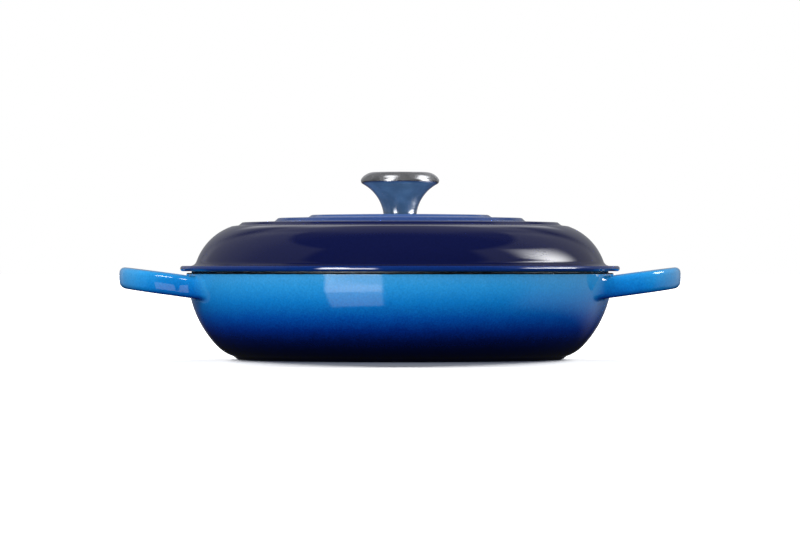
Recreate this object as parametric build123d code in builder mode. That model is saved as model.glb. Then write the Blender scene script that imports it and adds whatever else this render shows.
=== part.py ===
from build123d import *

import os
from math import acos, asin, atan2, cos, degrees, radians, sin, sqrt

# Enamelled cast-iron braiser: a shallow round pan with two loop handles, a stepped lid that rests on
# the rim, and a hollow steel knob held by one screw from under the lid.
# Millimetres, +Z up. The origin is the centre of the foot on the table, and the handles lie along X.

os.makedirs("parts", exist_ok=True)

# Pan: wall, base and foot
rim_height = 61.5
wall_radius = 151.0
wall = 3.8
wall_curve = 75.0
base_curve = 28.0
foot_lift = 1.0
foot_outset = 5.4
foot_flare = 3.4
foot_width = 9.0
foot_round = 0.8
foot_blend = 1.6

# Pan: rim band
rim_lip = 1.3
rim_band = 6.0
rim_slope = 2.6
rim_round = 1.4
rim_inner_round = 0.4
rim_blend = 3.0

# Pan: loop handles, cast with the wall
handle_projection = 48.8
handle_width = 108.6
handle_thickness = 14.9
handle_drop = 9.6
handle_tilt_angle = 7.7
handle_neck = 5.0
handle_bar = 17.0
handle_end_curve_share = 0.7
handle_side_curve_share = 0.654
handle_corner_share = 0.24
handle_round = 5.5
handle_root_blend = 8.0
handle_root_width = 15.0
handle_root_inset = 0.6
handle_wall_blend = 3.0

# Lid: crown with three ring steps, falling to a rounded shoulder
lid_rise = 41.8
lid_wall = 3.2
lid_centre_wall = 3.9
ring_radius_shares = [0.536, 0.736, 0.949]
ring_step_shares = [0.192, 0.273, 0.235]
crown_fall_share = 0.243
ring_slope_width = 2.6
ring_round = 2.0
shoulder_width = 27.5
shoulder_curve = 40.5
shoulder_drop = 6.5
shoulder_blend = 5.0

# Lid: flange over the rim, seat ring on it, skirt inside it and centring lugs on the skirt
flange_overhang = 3.9
flange_width = 9.2
flange_thickness = 3.8
flange_round = 1.7
flange_blend = 4.5
seat_rise = 1.2
seat_overlap = 1.0
skirt_clearance = 1.6
skirt_width = 3.4
skirt_depth = 5.2
skirt_round = 0.9
lug_count = 3
lug_width = 9.0
lug_clearance = 0.5
lug_start_angle = 90.0

# Knob: drawn shell, pressed cap and threaded bush inside
knob_sheet = 1.0
knob_radius = 27.9
knob_foot_radius = 11.8
knob_seat_margin = 1.2
knob_rim_rise = 23.8
knob_lip_curve = 2.75
knob_foot_round = 0.7
flare_lean_angle = 6.45
cap_bevel_width = 9.4
cap_edge_curve = 2.64
cap_edge_angle = 35.8
bush_radius = 6.0
bush_clearance = 1.3
bush_flange = 2.0
bush_chamfer = 0.6
bush_end_wall = 3.5
bore_spare = 1.2

# Lid screw, of M6 size, and its washer
screw_radius = 3.0
screw_length = 20.0
screw_tip = 0.6
thread_clearance = 0.1
hole_clearance = 0.5
head_radius = 6.0
head_height = 3.6
head_round = 1.6
washer_radius = 8.0
washer_thickness = 1.2
washer_clearance = 0.2
washer_edge = 0.25
washer_seat_margin = 2.0

# Overrun of cuts past a face, and how closely and where an edge has to lie on a surface to be on it
overrun = 10.0
seam_tolerance = 0.02
seam_shares = (0, 0.5, 1)


def on_arc(centre, radius, angle):
    """Return the point of a circle at an angle in degrees."""
    return (centre[0] + radius * cos(radians(angle)), centre[1] + radius * sin(radians(angle)))


def corner(section, point):
    """Return the vertex of a section that lies nearest to a point of its outline."""
    return section.vertices().sort_by_distance((point[0], point[1], 0))[0]


def wall_radius_at(height):
    """Return the outside radius of the pan's wall arc at a height."""
    return wall_radius - wall_curve + sqrt(wall_curve**2 - (rim_height - height) ** 2)


def meets_wall(edge):
    """Tell whether an edge is one of those where a handle meets the wall under the rim band."""
    on_wall = edge.geom_type != GeomType.CIRCLE
    for share in seam_shares:
        point = edge @ share
        gap = sqrt(point.X**2 + point.Y**2) - wall_radius_at(point.Z)
        on_wall = on_wall and abs(gap) < seam_tolerance and point.Z > handle_height - handle_thickness
    return on_wall


# Bowl: a base arc and a wall arc, tangent to each other, to the base plane and upright at the rim
wall_centre = (wall_radius - wall_curve, rim_height)
base_centre_z = foot_lift + base_curve
centre_step = sqrt((wall_curve - base_curve) ** 2 - (rim_height - base_centre_z) ** 2)
base_centre = (wall_centre[0] + centre_step, base_centre_z)
join_angle = degrees(atan2(base_centre_z - rim_height, centre_step))
foot_radius = base_centre[0] + foot_outset
foot_inner = foot_radius - foot_width
foot_angle = -degrees(acos((foot_outset + foot_flare) / base_curve))
foot_join = on_arc(base_centre, base_curve, foot_angle)
band_angle = -degrees(asin(rim_band / wall_curve))
band_foot = on_arc(wall_centre, wall_curve, band_angle)
rim_radius = wall_radius + rim_lip
band_edge = (rim_radius, band_foot[1] + rim_slope)
inner_rim_radius = wall_radius - wall
floor_height = foot_lift + wall

# Handles: a tilted plane through the middle of the loop, and the wall that the arms flow into
handle_height = rim_height - handle_drop
handle_reach = wall_radius + handle_projection
handle_neck_radius = wall_radius + handle_neck
handle_end_curve = handle_end_curve_share * handle_width
handle_side_curve = handle_side_curve_share * handle_width
handle_corner = handle_corner_share * handle_width
tilt_run = cos(radians(handle_tilt_angle))
tilt_rise = sin(radians(handle_tilt_angle))
handle_plane = Plane(
    origin=(wall_radius, 0, handle_height),
    x_dir=(tilt_run, 0, tilt_rise),
    z_dir=(-tilt_rise, 0, tilt_run),
)
root_radius = wall_radius_at(handle_height - handle_thickness / 2) - handle_root_inset
root_inner = root_radius - handle_root_width

with BuildSketch() as root_plan:
    Circle(root_radius)
    Circle(root_inner, mode=Mode.SUBTRACT)
    with Locations((root_radius, 0)):
        Rectangle(handle_side_curve * 2, handle_width + handle_bar * 2, mode=Mode.INTERSECT)


def loop_outline(inset):
    """Return the plan of a handle, drawn in by an inset: an end disc and two side discs overlap."""
    with BuildSketch() as outline:
        with Locations((handle_reach - handle_end_curve, 0)):
            Circle(handle_end_curve - inset)
        for side in (1, -1):
            with Locations((handle_neck_radius, side * (handle_width / 2 - handle_side_curve))):
                Circle(handle_side_curve - inset, mode=Mode.INTERSECT)
        fillet(outline.vertices().group_by(Axis.X)[-1], handle_corner - inset)
        with Locations((handle_neck_radius, 0)):
            Rectangle(handle_side_curve, handle_width - 2 * inset, align=(Align.MAX, Align.CENTER))
    return outline.sketch


with BuildSketch() as handle_plan:
    add(loop_outline(0))
    add(loop_outline(handle_bar), mode=Mode.SUBTRACT)
    with Locations((root_inner, 0)):
        Rectangle(handle_side_curve, handle_width, align=(Align.MAX, Align.CENTER), mode=Mode.SUBTRACT)
    add(root_plan.sketch)
    for half_width in (handle_width / 2, handle_width / 2 - handle_bar):
        for side in (1, -1):
            root_corner = (sqrt(root_radius**2 - half_width**2), side * half_width)
            fillet(corner(handle_plan, root_corner), handle_root_blend)

with BuildPart() as handle:
    add(handle_plan.sketch)
    extrude(amount=rim_height + handle_thickness)
    split(bisect_by=handle_plane.offset(handle_thickness / 2), keep=Keep.BOTTOM)
    split(bisect_by=handle_plane.offset(-handle_thickness / 2), keep=Keep.TOP)
    flats = handle.faces().filter_by(GeomType.PLANE).sort_by(Axis.Z)
    loop_edges = flats[0].edges() + flats[-1].edges()
    fillet(loop_edges.filter_by(lambda edge: edge.bounding_box().max.X > wall_radius), handle_round)

# Pan: the outside with its foot and rim band, the two handles, then the cavity
with BuildSketch(Plane.XZ) as pan_outside:
    with BuildLine():
        Polyline(
            (0, rim_height),
            (0, foot_lift),
            (foot_inner, foot_lift),
            (foot_inner, 0),
            (foot_radius, 0),
            foot_join,
        )
        CenterArc(base_centre, base_curve, foot_angle, join_angle - foot_angle)
        CenterArc(wall_centre, wall_curve, join_angle, band_angle - join_angle)
        Polyline(band_foot, band_edge, (rim_radius, rim_height), (0, rim_height))
    make_face()
    for foot_corner in ((foot_inner, 0), (foot_radius, 0)):
        fillet(corner(pan_outside, foot_corner), foot_round)
    fillet(corner(pan_outside, foot_join), foot_blend)
    for band_corner in (band_foot, band_edge):
        fillet(corner(pan_outside, band_corner), rim_blend)
    fillet(corner(pan_outside, (rim_radius, rim_height)), rim_round)

with BuildSketch(Plane.XZ) as pan_cavity:
    with BuildLine():
        CenterArc(base_centre, base_curve - wall, -90, 90 + join_angle)
        CenterArc(wall_centre, wall_curve - wall, join_angle, -join_angle)
        Polyline(
            (inner_rim_radius, rim_height),
            (inner_rim_radius, rim_height + overrun),
            (0, rim_height + overrun),
            (0, floor_height),
            (base_centre[0], floor_height),
        )
    make_face()

with BuildPart() as pan:
    add(pan_outside.sketch)
    revolve(axis=Axis.Z)
    add(handle.part)
    mirror(handle.part, about=Plane.YZ)
    add(pan_cavity.sketch)
    revolve(axis=Axis.Z, mode=Mode.SUBTRACT)
    fillet(pan.edges().filter_by(meets_wall), handle_wall_blend)
    circles = pan.edges().filter_by(GeomType.CIRCLE)
    fillet(circles.sort_by_distance((inner_rim_radius, 0, rim_height))[0], rim_inner_round)
pan.part.label = "pan"
export_step(pan.part, "parts/pan.step")

# Lid, outside: the crown falls gently between its ring steps, and the shoulder arc drops to the flange
lid_top = rim_height + lid_rise
lid_hole = screw_radius + hole_clearance
flange_foot = rim_height + seat_rise
flange_top = flange_foot + flange_thickness
flange_radius = rim_radius + flange_overhang
seat_radius = inner_rim_radius + seat_overlap
skirt_radius = inner_rim_radius - skirt_clearance
skirt_inner = skirt_radius - skirt_width
skirt_foot = rim_height - skirt_depth
knob_seat_radius = knob_foot_radius + knob_seat_margin
shoulder_reach = flange_radius - flange_width
shoulder_start = shoulder_reach - shoulder_width
shoulder_centre = (shoulder_reach - shoulder_curve, lid_top - shoulder_drop - shoulder_curve)
shoulder_angle = degrees(acos((shoulder_start - shoulder_centre[0]) / shoulder_curve))
shoulder_top = on_arc(shoulder_centre, shoulder_curve, shoulder_angle)
shoulder_fall = lid_top - shoulder_top[1]
neck_angle = degrees(asin((flange_top - shoulder_centre[1]) / shoulder_curve))
neck = on_arc(shoulder_centre, shoulder_curve, neck_angle)

# Lid, inside: a shallow dome, tangent to an arc that keeps the wall of the shoulder
inner_curve = shoulder_curve - lid_wall
inner_neck_angle = degrees(asin((flange_top - shoulder_centre[1]) / inner_curve))
dome_rise = shoulder_drop + lid_wall - lid_centre_wall
dome_drop = (shoulder_centre[0] ** 2 - dome_rise**2) / (2 * dome_rise)
dome_centre = (0, shoulder_centre[1] - dome_drop)
dome_curve = dome_drop + dome_rise + inner_curve
dome_join_angle = degrees(atan2(dome_drop, shoulder_centre[0]))
dome_start_angle = degrees(acos((washer_radius + washer_seat_margin) / dome_curve))
washer_seat = on_arc(dome_centre, dome_curve, dome_start_angle)


def crown_point(radius, fall_share):
    """Return a point of the crown, below its top by its own curve and a share for the ring steps."""
    curve_share = crown_fall_share * (radius / shoulder_start) ** 2
    return (radius, lid_top - shoulder_fall * (curve_share + fall_share))


ring_corners = []
step_share = 0
for ring_share, ring_step_share in zip(ring_radius_shares, ring_step_shares):
    ring_radius = ring_share * shoulder_start
    ring_corners.append(crown_point(ring_radius - ring_slope_width / 2, step_share))
    step_share = step_share + ring_step_share
    ring_corners.append(crown_point(ring_radius + ring_slope_width / 2, step_share))

with BuildSketch(Plane.XZ) as lid_section:
    with BuildLine():
        Polyline(
            washer_seat,
            (lid_hole, washer_seat[1]),
            (lid_hole, lid_top),
            (knob_seat_radius, lid_top),
            *ring_corners,
            shoulder_top,
        )
        CenterArc(shoulder_centre, shoulder_curve, shoulder_angle, neck_angle - shoulder_angle)
        Polyline(
            neck,
            (flange_radius, flange_top),
            (flange_radius, flange_foot),
            (seat_radius, flange_foot),
            (seat_radius, rim_height),
            (skirt_radius, rim_height),
            (skirt_radius, skirt_foot),
            (skirt_inner, skirt_foot),
            on_arc(shoulder_centre, inner_curve, inner_neck_angle),
        )
        CenterArc(shoulder_centre, inner_curve, inner_neck_angle, dome_join_angle - inner_neck_angle)
        CenterArc(dome_centre, dome_curve, dome_join_angle, dome_start_angle - dome_join_angle)
    make_face()
    for ring_corner in ring_corners:
        fillet(corner(lid_section, ring_corner), ring_round)
    fillet(corner(lid_section, shoulder_top), shoulder_blend)
    fillet(corner(lid_section, neck), flange_blend)
    for flange_corner in ((flange_radius, flange_top), (flange_radius, flange_foot)):
        fillet(corner(lid_section, flange_corner), flange_round)
    for skirt_corner in ((skirt_radius, skirt_foot), (skirt_inner, skirt_foot)):
        fillet(corner(lid_section, skirt_corner), skirt_round)

with BuildSketch(Plane.XY.offset(skirt_foot + skirt_round)) as lug_plan:
    with PolarLocations(skirt_radius, lug_count, start_angle=lug_start_angle):
        Rectangle(skirt_width, lug_width)
    Circle(inner_rim_radius - lug_clearance, mode=Mode.INTERSECT)
    Circle(skirt_radius - skirt_width / 2, mode=Mode.SUBTRACT)

with BuildPart() as lid:
    add(lid_section.sketch)
    revolve(axis=Axis.Z)
    add(lug_plan.sketch)
    extrude(amount=skirt_depth - 2 * skirt_round)
lid.part.label = "lid"
export_step(lid.part, "parts/lid.step")

# Knob shell: it flares out from its foot on one arc and turns up to the rim on a tangent lip arc
knob_floor = lid_top + knob_sheet
knob_rim_z = lid_top + knob_rim_rise
lip_inset = knob_radius - knob_lip_curve - knob_foot_radius
lean_run = cos(radians(flare_lean_angle))
lean_rise = sin(radians(flare_lean_angle))
flare_reach = knob_lip_curve + lip_inset * lean_run - knob_rim_rise * lean_rise
flare_curve = (lip_inset**2 + knob_rim_rise**2 - knob_lip_curve**2) / (2 * flare_reach)
flare_centre = (knob_foot_radius + flare_curve * lean_run, lid_top - flare_curve * lean_rise)
lip_centre = (knob_radius - knob_lip_curve, knob_rim_z)
lip_angle = degrees(atan2(lip_centre[1] - flare_centre[1], lip_centre[0] - flare_centre[0]))
flare_inner = flare_curve + knob_sheet
flare_start_angle = 180 - flare_lean_angle
floor_angle = 180 - degrees(asin((knob_floor - flare_centre[1]) / flare_inner))

with BuildSketch(Plane.XZ) as shell_section:
    with BuildLine():
        CenterArc(flare_centre, flare_curve, flare_start_angle, lip_angle - flare_start_angle)
        CenterArc(lip_centre, knob_lip_curve, lip_angle - 180, 180 - lip_angle)
        Line((knob_radius, knob_rim_z), (knob_radius - knob_sheet, knob_rim_z))
        CenterArc(lip_centre, knob_lip_curve - knob_sheet, lip_angle - 180, 180 - lip_angle)
        CenterArc(flare_centre, flare_inner, floor_angle, lip_angle - floor_angle)
        Polyline(
            on_arc(flare_centre, flare_inner, floor_angle),
            (lid_hole, knob_floor),
            (lid_hole, lid_top),
            (knob_foot_radius, lid_top),
        )
    make_face()
    fillet(corner(shell_section, (knob_foot_radius, lid_top)), knob_foot_round)

with BuildPart() as knob_shell:
    add(shell_section.sketch)
    revolve(axis=Axis.Z)
knob_shell.part.label = "knob_shell"
export_step(knob_shell.part, "parts/knob_shell.step")

# Knob cap: a tight edge arc on the shell's rim runs into a wide one that ends level with the flat top
cap_top_radius = knob_radius - cap_bevel_width
cap_edge_centre = (knob_radius - cap_edge_curve, knob_rim_z)
cap_edge = on_arc(cap_edge_centre, cap_edge_curve, cap_edge_angle)
cap_curve = (cap_edge[0] - cap_top_radius) / cos(radians(cap_edge_angle))
cap_centre = (cap_top_radius, cap_edge[1] - cap_curve * sin(radians(cap_edge_angle)))
knob_top = cap_centre[1] + cap_curve

with BuildSketch(Plane.XZ) as cap_section:
    with BuildLine():
        Line((knob_radius - knob_sheet, knob_rim_z), (knob_radius, knob_rim_z))
        CenterArc(cap_edge_centre, cap_edge_curve, 0, cap_edge_angle)
        CenterArc(cap_centre, cap_curve, cap_edge_angle, 90 - cap_edge_angle)
        Polyline(
            (cap_top_radius, knob_top),
            (0, knob_top),
            (0, knob_top - knob_sheet),
            (cap_top_radius, knob_top - knob_sheet),
        )
        CenterArc(cap_centre, cap_curve - knob_sheet, cap_edge_angle, 90 - cap_edge_angle)
        CenterArc(cap_edge_centre, cap_edge_curve - knob_sheet, 0, cap_edge_angle)
    make_face()

with BuildPart() as knob_cap:
    add(cap_section.sketch)
    revolve(axis=Axis.Z)
knob_cap.part.label = "knob_cap"
export_step(knob_cap.part, "parts/knob_cap.step")

# Knob bush: its flange stands on the floor of the shell, and a blind bore takes the end of the screw
head_top = washer_seat[1] - washer_thickness
bore_depth = head_top + screw_length + bore_spare - knob_floor

with BuildPart() as knob_bush:
    with BuildSketch(Plane.XY.offset(knob_floor)):
        Circle(knob_foot_radius - knob_sheet - bush_clearance)
    extrude(amount=bush_flange)
    with BuildSketch(Plane.XY.offset(knob_floor)):
        Circle(bush_radius)
    extrude(amount=bore_depth + bush_end_wall)
    chamfer(knob_bush.faces().sort_by(Axis.Z)[-1].edges(), bush_chamfer)
    with BuildSketch(Plane.XY.offset(knob_floor)):
        Circle(screw_radius + thread_clearance)
    extrude(amount=bore_depth, mode=Mode.SUBTRACT)
knob_bush.part.label = "knob_bush"
export_step(knob_bush.part, "parts/knob_bush.step")

# Washer under the lid, and the screw that comes up through it into the bush
with BuildPart() as lid_washer:
    with BuildSketch(Plane.XY.offset(head_top)):
        Circle(washer_radius)
        Circle(screw_radius + washer_clearance, mode=Mode.SUBTRACT)
    extrude(amount=washer_thickness)
    chamfer(lid_washer.faces().sort_by(Axis.Z)[0].outer_wire().edges(), washer_edge)
lid_washer.part.label = "lid_washer"
export_step(lid_washer.part, "parts/lid_washer.step")

with BuildPart() as lid_screw:
    with BuildSketch(Plane.XY.offset(head_top)):
        Circle(head_radius)
    extrude(amount=-head_height)
    fillet(lid_screw.faces().sort_by(Axis.Z)[0].edges(), head_round)
    with BuildSketch(Plane.XY.offset(head_top)):
        Circle(screw_radius)
    extrude(amount=screw_length)
    chamfer(lid_screw.faces().sort_by(Axis.Z)[-1].edges(), screw_tip)
lid_screw.part.label = "lid_screw"
export_step(lid_screw.part, "parts/lid_screw.step")
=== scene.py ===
"""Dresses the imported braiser: enamelled castings with loop handles, a steel knob and a plain studio."""

import logging
from dataclasses import dataclass, field
from enum import Enum
from functools import partial
from math import acos, asin, atan2, ceil, cos, degrees, pi, radians, sin, sqrt, tan

import bpy
import numpy as np
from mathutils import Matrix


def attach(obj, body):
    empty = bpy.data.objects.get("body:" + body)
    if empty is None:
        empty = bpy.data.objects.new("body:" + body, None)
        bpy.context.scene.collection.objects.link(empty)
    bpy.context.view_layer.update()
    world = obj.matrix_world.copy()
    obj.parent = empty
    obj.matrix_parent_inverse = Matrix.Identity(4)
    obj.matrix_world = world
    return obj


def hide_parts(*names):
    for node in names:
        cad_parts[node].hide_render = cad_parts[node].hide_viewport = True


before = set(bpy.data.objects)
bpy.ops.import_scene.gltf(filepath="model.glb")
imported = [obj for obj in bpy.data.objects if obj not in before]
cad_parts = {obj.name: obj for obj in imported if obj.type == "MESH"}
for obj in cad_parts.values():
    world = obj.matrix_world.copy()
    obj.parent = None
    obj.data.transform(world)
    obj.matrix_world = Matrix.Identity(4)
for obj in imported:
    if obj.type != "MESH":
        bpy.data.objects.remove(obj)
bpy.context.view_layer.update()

MM = 0.001
# Points nearer than this are one point.
WELD = 0.001 * MM
# A rounded corner has this many points. A line is measured at this step, in millimetres, and its bend is
# the mean over this many steps.
CORNER_POINTS = 13
FINE_STEP = 0.1
BEND_STEPS = 15
Point = tuple[float, float]
Piece, Material = bpy.types.Object, bpy.types.Material
Tree, Node, Socket = bpy.types.NodeTree, bpy.types.Node, bpy.types.NodeSocket
log = logging.getLogger("braiser")


class Body(Enum):
    """The two bodies that move against each other."""

    PAN = "pan_body"
    LID = "lid_body"


class Slot(Enum):
    """The record's material slots."""

    PAN = "pan_enamel"
    LID = "lid_enamel"
    KNOB = "knob_steel"
    FIXING = "fixing_steel"


class Zone(Enum):
    """The parts of a casting's section that have finishes of their own."""

    OUTSIDE = 0
    EDGE = 1
    INSIDE = 2


class Fade(Enum):
    """What the colour of a sprayed enamel changes with."""

    HEIGHT = "height"
    RADIUS = "radius"


# ---- shapes ----


def polar(centre: Point, radius: float, angle: float) -> Point:
    """Return the point of a circle at an angle in degrees."""
    return (centre[0] + radius * cos(radians(angle)), centre[1] + radius * sin(radians(angle)))


def unit(vector: np.ndarray) -> np.ndarray:
    """Return vectors at length one."""
    return vector / np.linalg.norm(vector, axis=-1, keepdims=True)


class Outline:
    """A section drawn in radius and height, in millimetres, with a zone for each of its points."""

    drawing_step = 0.4
    least_step = 1e-6

    def __init__(self, start: Point, zone: Zone = Zone.OUTSIDE) -> None:
        """Start the outline.

        Args:
            start: Its first point.
            zone: The zone of its first points.
        """
        self.rows: list[tuple[float, float, float]] = [(*start, zone.value)]
        self.corners: dict[int, float] = {}
        self.zone = zone

    def line(self, *points: Point, corner: float = 0.0) -> "Outline":
        """Draw straight to each point.

        Args:
            points: The points to reach, one after the other.
            corner: The radius of the corner at the last of them.

        Returns:
            The outline itself.
        """
        for point in points:
            start = np.array(self.rows[-1][:2])
            run = np.array(point) - start
            steps = max(1, ceil(float(np.linalg.norm(run)) / self.drawing_step))
            for step in range(1, steps + 1):
                place = start + run * step / steps
                self.rows.append((float(place[0]), float(place[1]), self.zone.value))
        if corner:
            self.corners[len(self.rows) - 1] = corner
        return self

    def arc(self, centre: Point, radius: float, start: float, end: float, corner: float = 0.0) -> "Outline":
        """Draw an arc.

        Args:
            centre: The centre of the arc.
            radius: Its radius.
            start: Its first angle, in degrees.
            end: Its last angle, in degrees.
            corner: The radius of the corner at its end.

        Returns:
            The outline itself.
        """
        steps = max(2, ceil(abs(radians(end - start)) * radius / self.drawing_step))
        for step in range(steps + 1):
            self.line(polar(centre, radius, start + (end - start) * step / steps))
        if corner:
            self.corners[len(self.rows) - 1] = corner
        return self

    def enter(self, zone: Zone) -> "Outline":
        """Give the points that follow another zone."""
        self.zone = zone
        return self

    def respaced(self, longest: float = 4.0, turn: float = 4.0) -> np.ndarray:
        """Return the outline with its corners rounded and its points close where it turns.

        Args:
            longest: The longest step, in millimetres.
            turn: The turn of one step, in degrees.

        Returns:
            Rows of radius, height and zone.
        """
        rows = np.array(self.rows)
        keep = np.r_[True, np.linalg.norm(np.diff(rows[:, :2], axis=0), axis=1) > self.least_step]
        kept = np.cumsum(keep) - 1
        rows = rows[keep]
        for index in sorted(self.corners, reverse=True):
            rows = rounded(rows, int(kept[index]), self.corners[index])
        return graded(rows, longest, radians(turn))


def rounded(rows: np.ndarray, index: int, radius: float) -> np.ndarray:
    """Round one corner of a line.

    Args:
        rows: The line, as rows of radius, height and zone.
        index: The row of the corner.
        radius: The radius to round it with.

    Returns:
        The rows with the corner replaced by an arc.
    """
    line = rows[:, :2]
    before, after = unit(line[index] - line[index - 1]), unit(line[index + 1] - line[index])
    turn = acos(float(np.clip(before @ after, -1, 1)))
    reach = radius * tan(turn / 2)
    spans = np.r_[0, np.cumsum(np.linalg.norm(np.diff(line, axis=0), axis=1))]
    ends = (spans[index] - reach, spans[index] + reach)
    first, last = np.searchsorted(spans, ends[0]), np.searchsorted(spans, ends[1])
    start = np.array([np.interp(ends[0], spans, line[:, axis]) for axis in (0, 1)])
    stop = np.array([np.interp(ends[1], spans, line[:, axis]) for axis in (0, 1)])
    before, after = unit(line[first] - line[first - 1]), unit(line[last] - line[last - 1])
    sides = np.linalg.solve(np.array([before, after]).T, stop - start)
    knee = start + before * sides[0]
    weight = cos(turn / 2)
    share = np.linspace(0, 1, CORNER_POINTS)[:, None]
    parts = ((1 - share) ** 2, 2 * weight * share * (1 - share), share**2)
    bend = (parts[0] * start + parts[1] * knee + parts[2] * stop) / (parts[0] + parts[1] + parts[2])
    zone = np.full((len(bend), 1), rows[index, 2])
    return np.vstack([rows[:first], np.hstack([bend, zone]), rows[last:]])


def graded(rows: np.ndarray, longest: float, turn: float) -> np.ndarray:
    """Respace a line so that its points are close where it turns and far apart where it is straight.

    Args:
        rows: The line, as rows of radius, height and zone.
        longest: The longest step, in millimetres.
        turn: The turn of one step, in radians.

    Returns:
        The respaced rows.
    """
    spans = np.r_[0, np.cumsum(np.linalg.norm(np.diff(rows[:, :2], axis=0), axis=1))]
    fine = np.linspace(0, spans[-1], int(spans[-1] / FINE_STEP))
    line = np.stack([np.interp(fine, spans, rows[:, axis]) for axis in (0, 1)], axis=1)
    heading = np.unwrap(np.arctan2(*np.diff(line, axis=0).T[::-1]))
    bends = np.convolve(np.abs(np.diff(heading)), np.ones(BEND_STEPS) / BEND_STEPS, mode="same")
    effort = np.r_[0, np.cumsum(np.r_[bends, 0] / turn + np.diff(fine) / longest)]
    marks = np.interp(np.linspace(0, effort[-1], ceil(effort[-1]) + 1), effort, fine)
    placed = [np.interp(marks, spans, rows[:, axis]) for axis in (0, 1)]
    zones = rows[np.clip(np.searchsorted(spans, marks), 0, len(rows) - 1), 2]
    return np.stack([*placed, zones], axis=1)


def skin(name: str, rings: np.ndarray, finish: Material) -> Piece:
    """Make a closed piece through rings of points, with a fan over each end.

    Args:
        name: The name of the piece.
        rings: An array of rings, each with the same number of points, in millimetres.
        finish: The material of the piece.

    Returns:
        The new object, with its faces outward.
    """
    count, around = rings.shape[:2]
    points = np.vstack([rings.reshape(-1, 3), rings[0].mean(axis=0), rings[-1].mean(axis=0)])
    quads = []
    for ring in range(count - 1):
        low, high = ring * around, (ring + 1) * around
        for i in range(around):
            after = (i + 1) % around
            quads.append((low + i, low + after, high + after, high + i))
    fans = [((i + 1) % around, i, count * around) for i in range(around)]
    last = (count - 1) * around
    fans += [(last + i, last + (i + 1) % around, count * around + 1) for i in range(around)]
    mesh = bpy.data.meshes.new(name)
    mesh.from_pydata((points * MM).tolist(), [], quads + fans)
    mesh.materials.append(finish)
    piece = bpy.data.objects.new(name, mesh)
    bpy.context.scene.collection.objects.link(piece)
    return tidied(piece)


def tidied(piece: Piece) -> Piece:
    """Turn a piece's faces outward, by the volume that they enclose, and shade them smoothly.

    Args:
        piece: The piece, with a closed mesh.

    Returns:
        The same piece.
    """
    mesh = piece.data
    mesh.calc_loop_triangles()
    points = np.empty(len(mesh.vertices) * 3)
    mesh.vertices.foreach_get("co", points)
    corners = np.empty(len(mesh.loop_triangles) * 3, dtype=np.int32)
    mesh.loop_triangles.foreach_get("vertices", corners)
    sides = points.reshape(-1, 3)[corners.reshape(-1, 3)]
    if np.einsum("ij,ij->i", sides[:, 0], np.cross(sides[:, 1], sides[:, 2])).sum() < 0:
        mesh.flip_normals()
    mesh.polygons.foreach_set("use_smooth", np.ones(len(mesh.polygons), dtype=bool))
    mesh.update()
    return piece


# ---- node trees ----


def add_node(tree: Tree, kind: str, settings: dict | None = None, **inputs: object) -> Node:
    """Add a node with its settings and links.

    Args:
        tree: The tree that gets the node.
        kind: The node's type.
        settings: Its properties, and a ramp's stops as pairs of share and colour.
        inputs: Values, sockets or nodes for its inputs, by name, with _ for a space, or by number as in_0.

    Returns:
        The new node.
    """
    node = tree.nodes.new(kind)
    for key, value in (settings or {}).items():
        if key == "stops":
            elements = node.color_ramp.elements
            for share, _ in value[1:-1]:
                elements.new(share)
            for element, (share, colour) in zip(elements, value):
                element.position, element.color = share, colour
        else:
            setattr(node, key, value)
    for key, value in inputs.items():
        named = [socket for socket in node.inputs if socket.enabled and socket.name == key.replace("_", " ")]
        socket = node.inputs[int(key[3:])] if key[:3] == "in_" else named[0]
        if isinstance(value, Node):
            value = next(output for output in value.outputs if output.enabled)
        if isinstance(value, Socket):
            tree.links.new(value, socket)
        else:
            socket.default_value = value
    return node


def new_group(name: str, **sockets: str) -> tuple[Tree, Node]:
    """Start a tree of geometry nodes with named inputs.

    Args:
        name: The name of the tree.
        sockets: The kind of each input, by name, with _ for a space.

    Returns:
        The tree and its input node.
    """
    tree = bpy.data.node_groups.new(name, "GeometryNodeTree")
    tree.interface.new_socket("Geometry", in_out="OUTPUT", socket_type="NodeSocketGeometry")
    for label, kind in sockets.items():
        tree.interface.new_socket(label.replace("_", " "), in_out="INPUT", socket_type=f"NodeSocket{kind}")
    return tree, tree.nodes.new("NodeGroupInput")


def close_group(tree: Tree, geometry: Socket, finish: Socket) -> Tree:
    """End a tree in real geometry with its material.

    Args:
        tree: The tree to end.
        geometry: The geometry that it has made.
        finish: The material for it.

    Returns:
        The same tree.
    """
    add = partial(add_node, tree)
    real = add("GeometryNodeRealizeInstances", Geometry=geometry)
    smooth = add("GeometryNodeSetShadeSmooth", Geometry=real.outputs[0])
    dressed = add("GeometryNodeSetMaterial", Geometry=smooth.outputs[0], Material=finish)
    add("NodeGroupOutput", in_0=dressed.outputs[0])
    return tree


def grown(name: str, tree: Tree, start: bpy.types.Mesh | None = None, **inputs: object) -> Piece:
    """Make a piece with a tree of geometry nodes and keep its result as a plain mesh.

    Args:
        name: The name of the piece.
        tree: The tree that makes it.
        start: The mesh that the tree works on, where it has one.
        inputs: The tree's inputs by name, with _ for a space.

    Returns:
        The new object, without a modifier.
    """
    piece = bpy.data.objects.new(name, start or bpy.data.meshes.new(name))
    bpy.context.scene.collection.objects.link(piece)
    modifier = piece.modifiers.new("Form", "NODES")
    modifier.node_group = tree
    identifiers = {item.name: item.identifier for item in tree.interface.items_tree if item.in_out == "INPUT"}
    for label, value in inputs.items():
        modifier[identifiers[label.replace("_", " ")]] = value
    graph = bpy.context.evaluated_depsgraph_get()
    mesh = bpy.data.meshes.new_from_object(piece.evaluated_get(graph))
    piece.modifiers.clear()
    piece.data = mesh
    mesh.name = name
    return tidied(piece)


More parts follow.
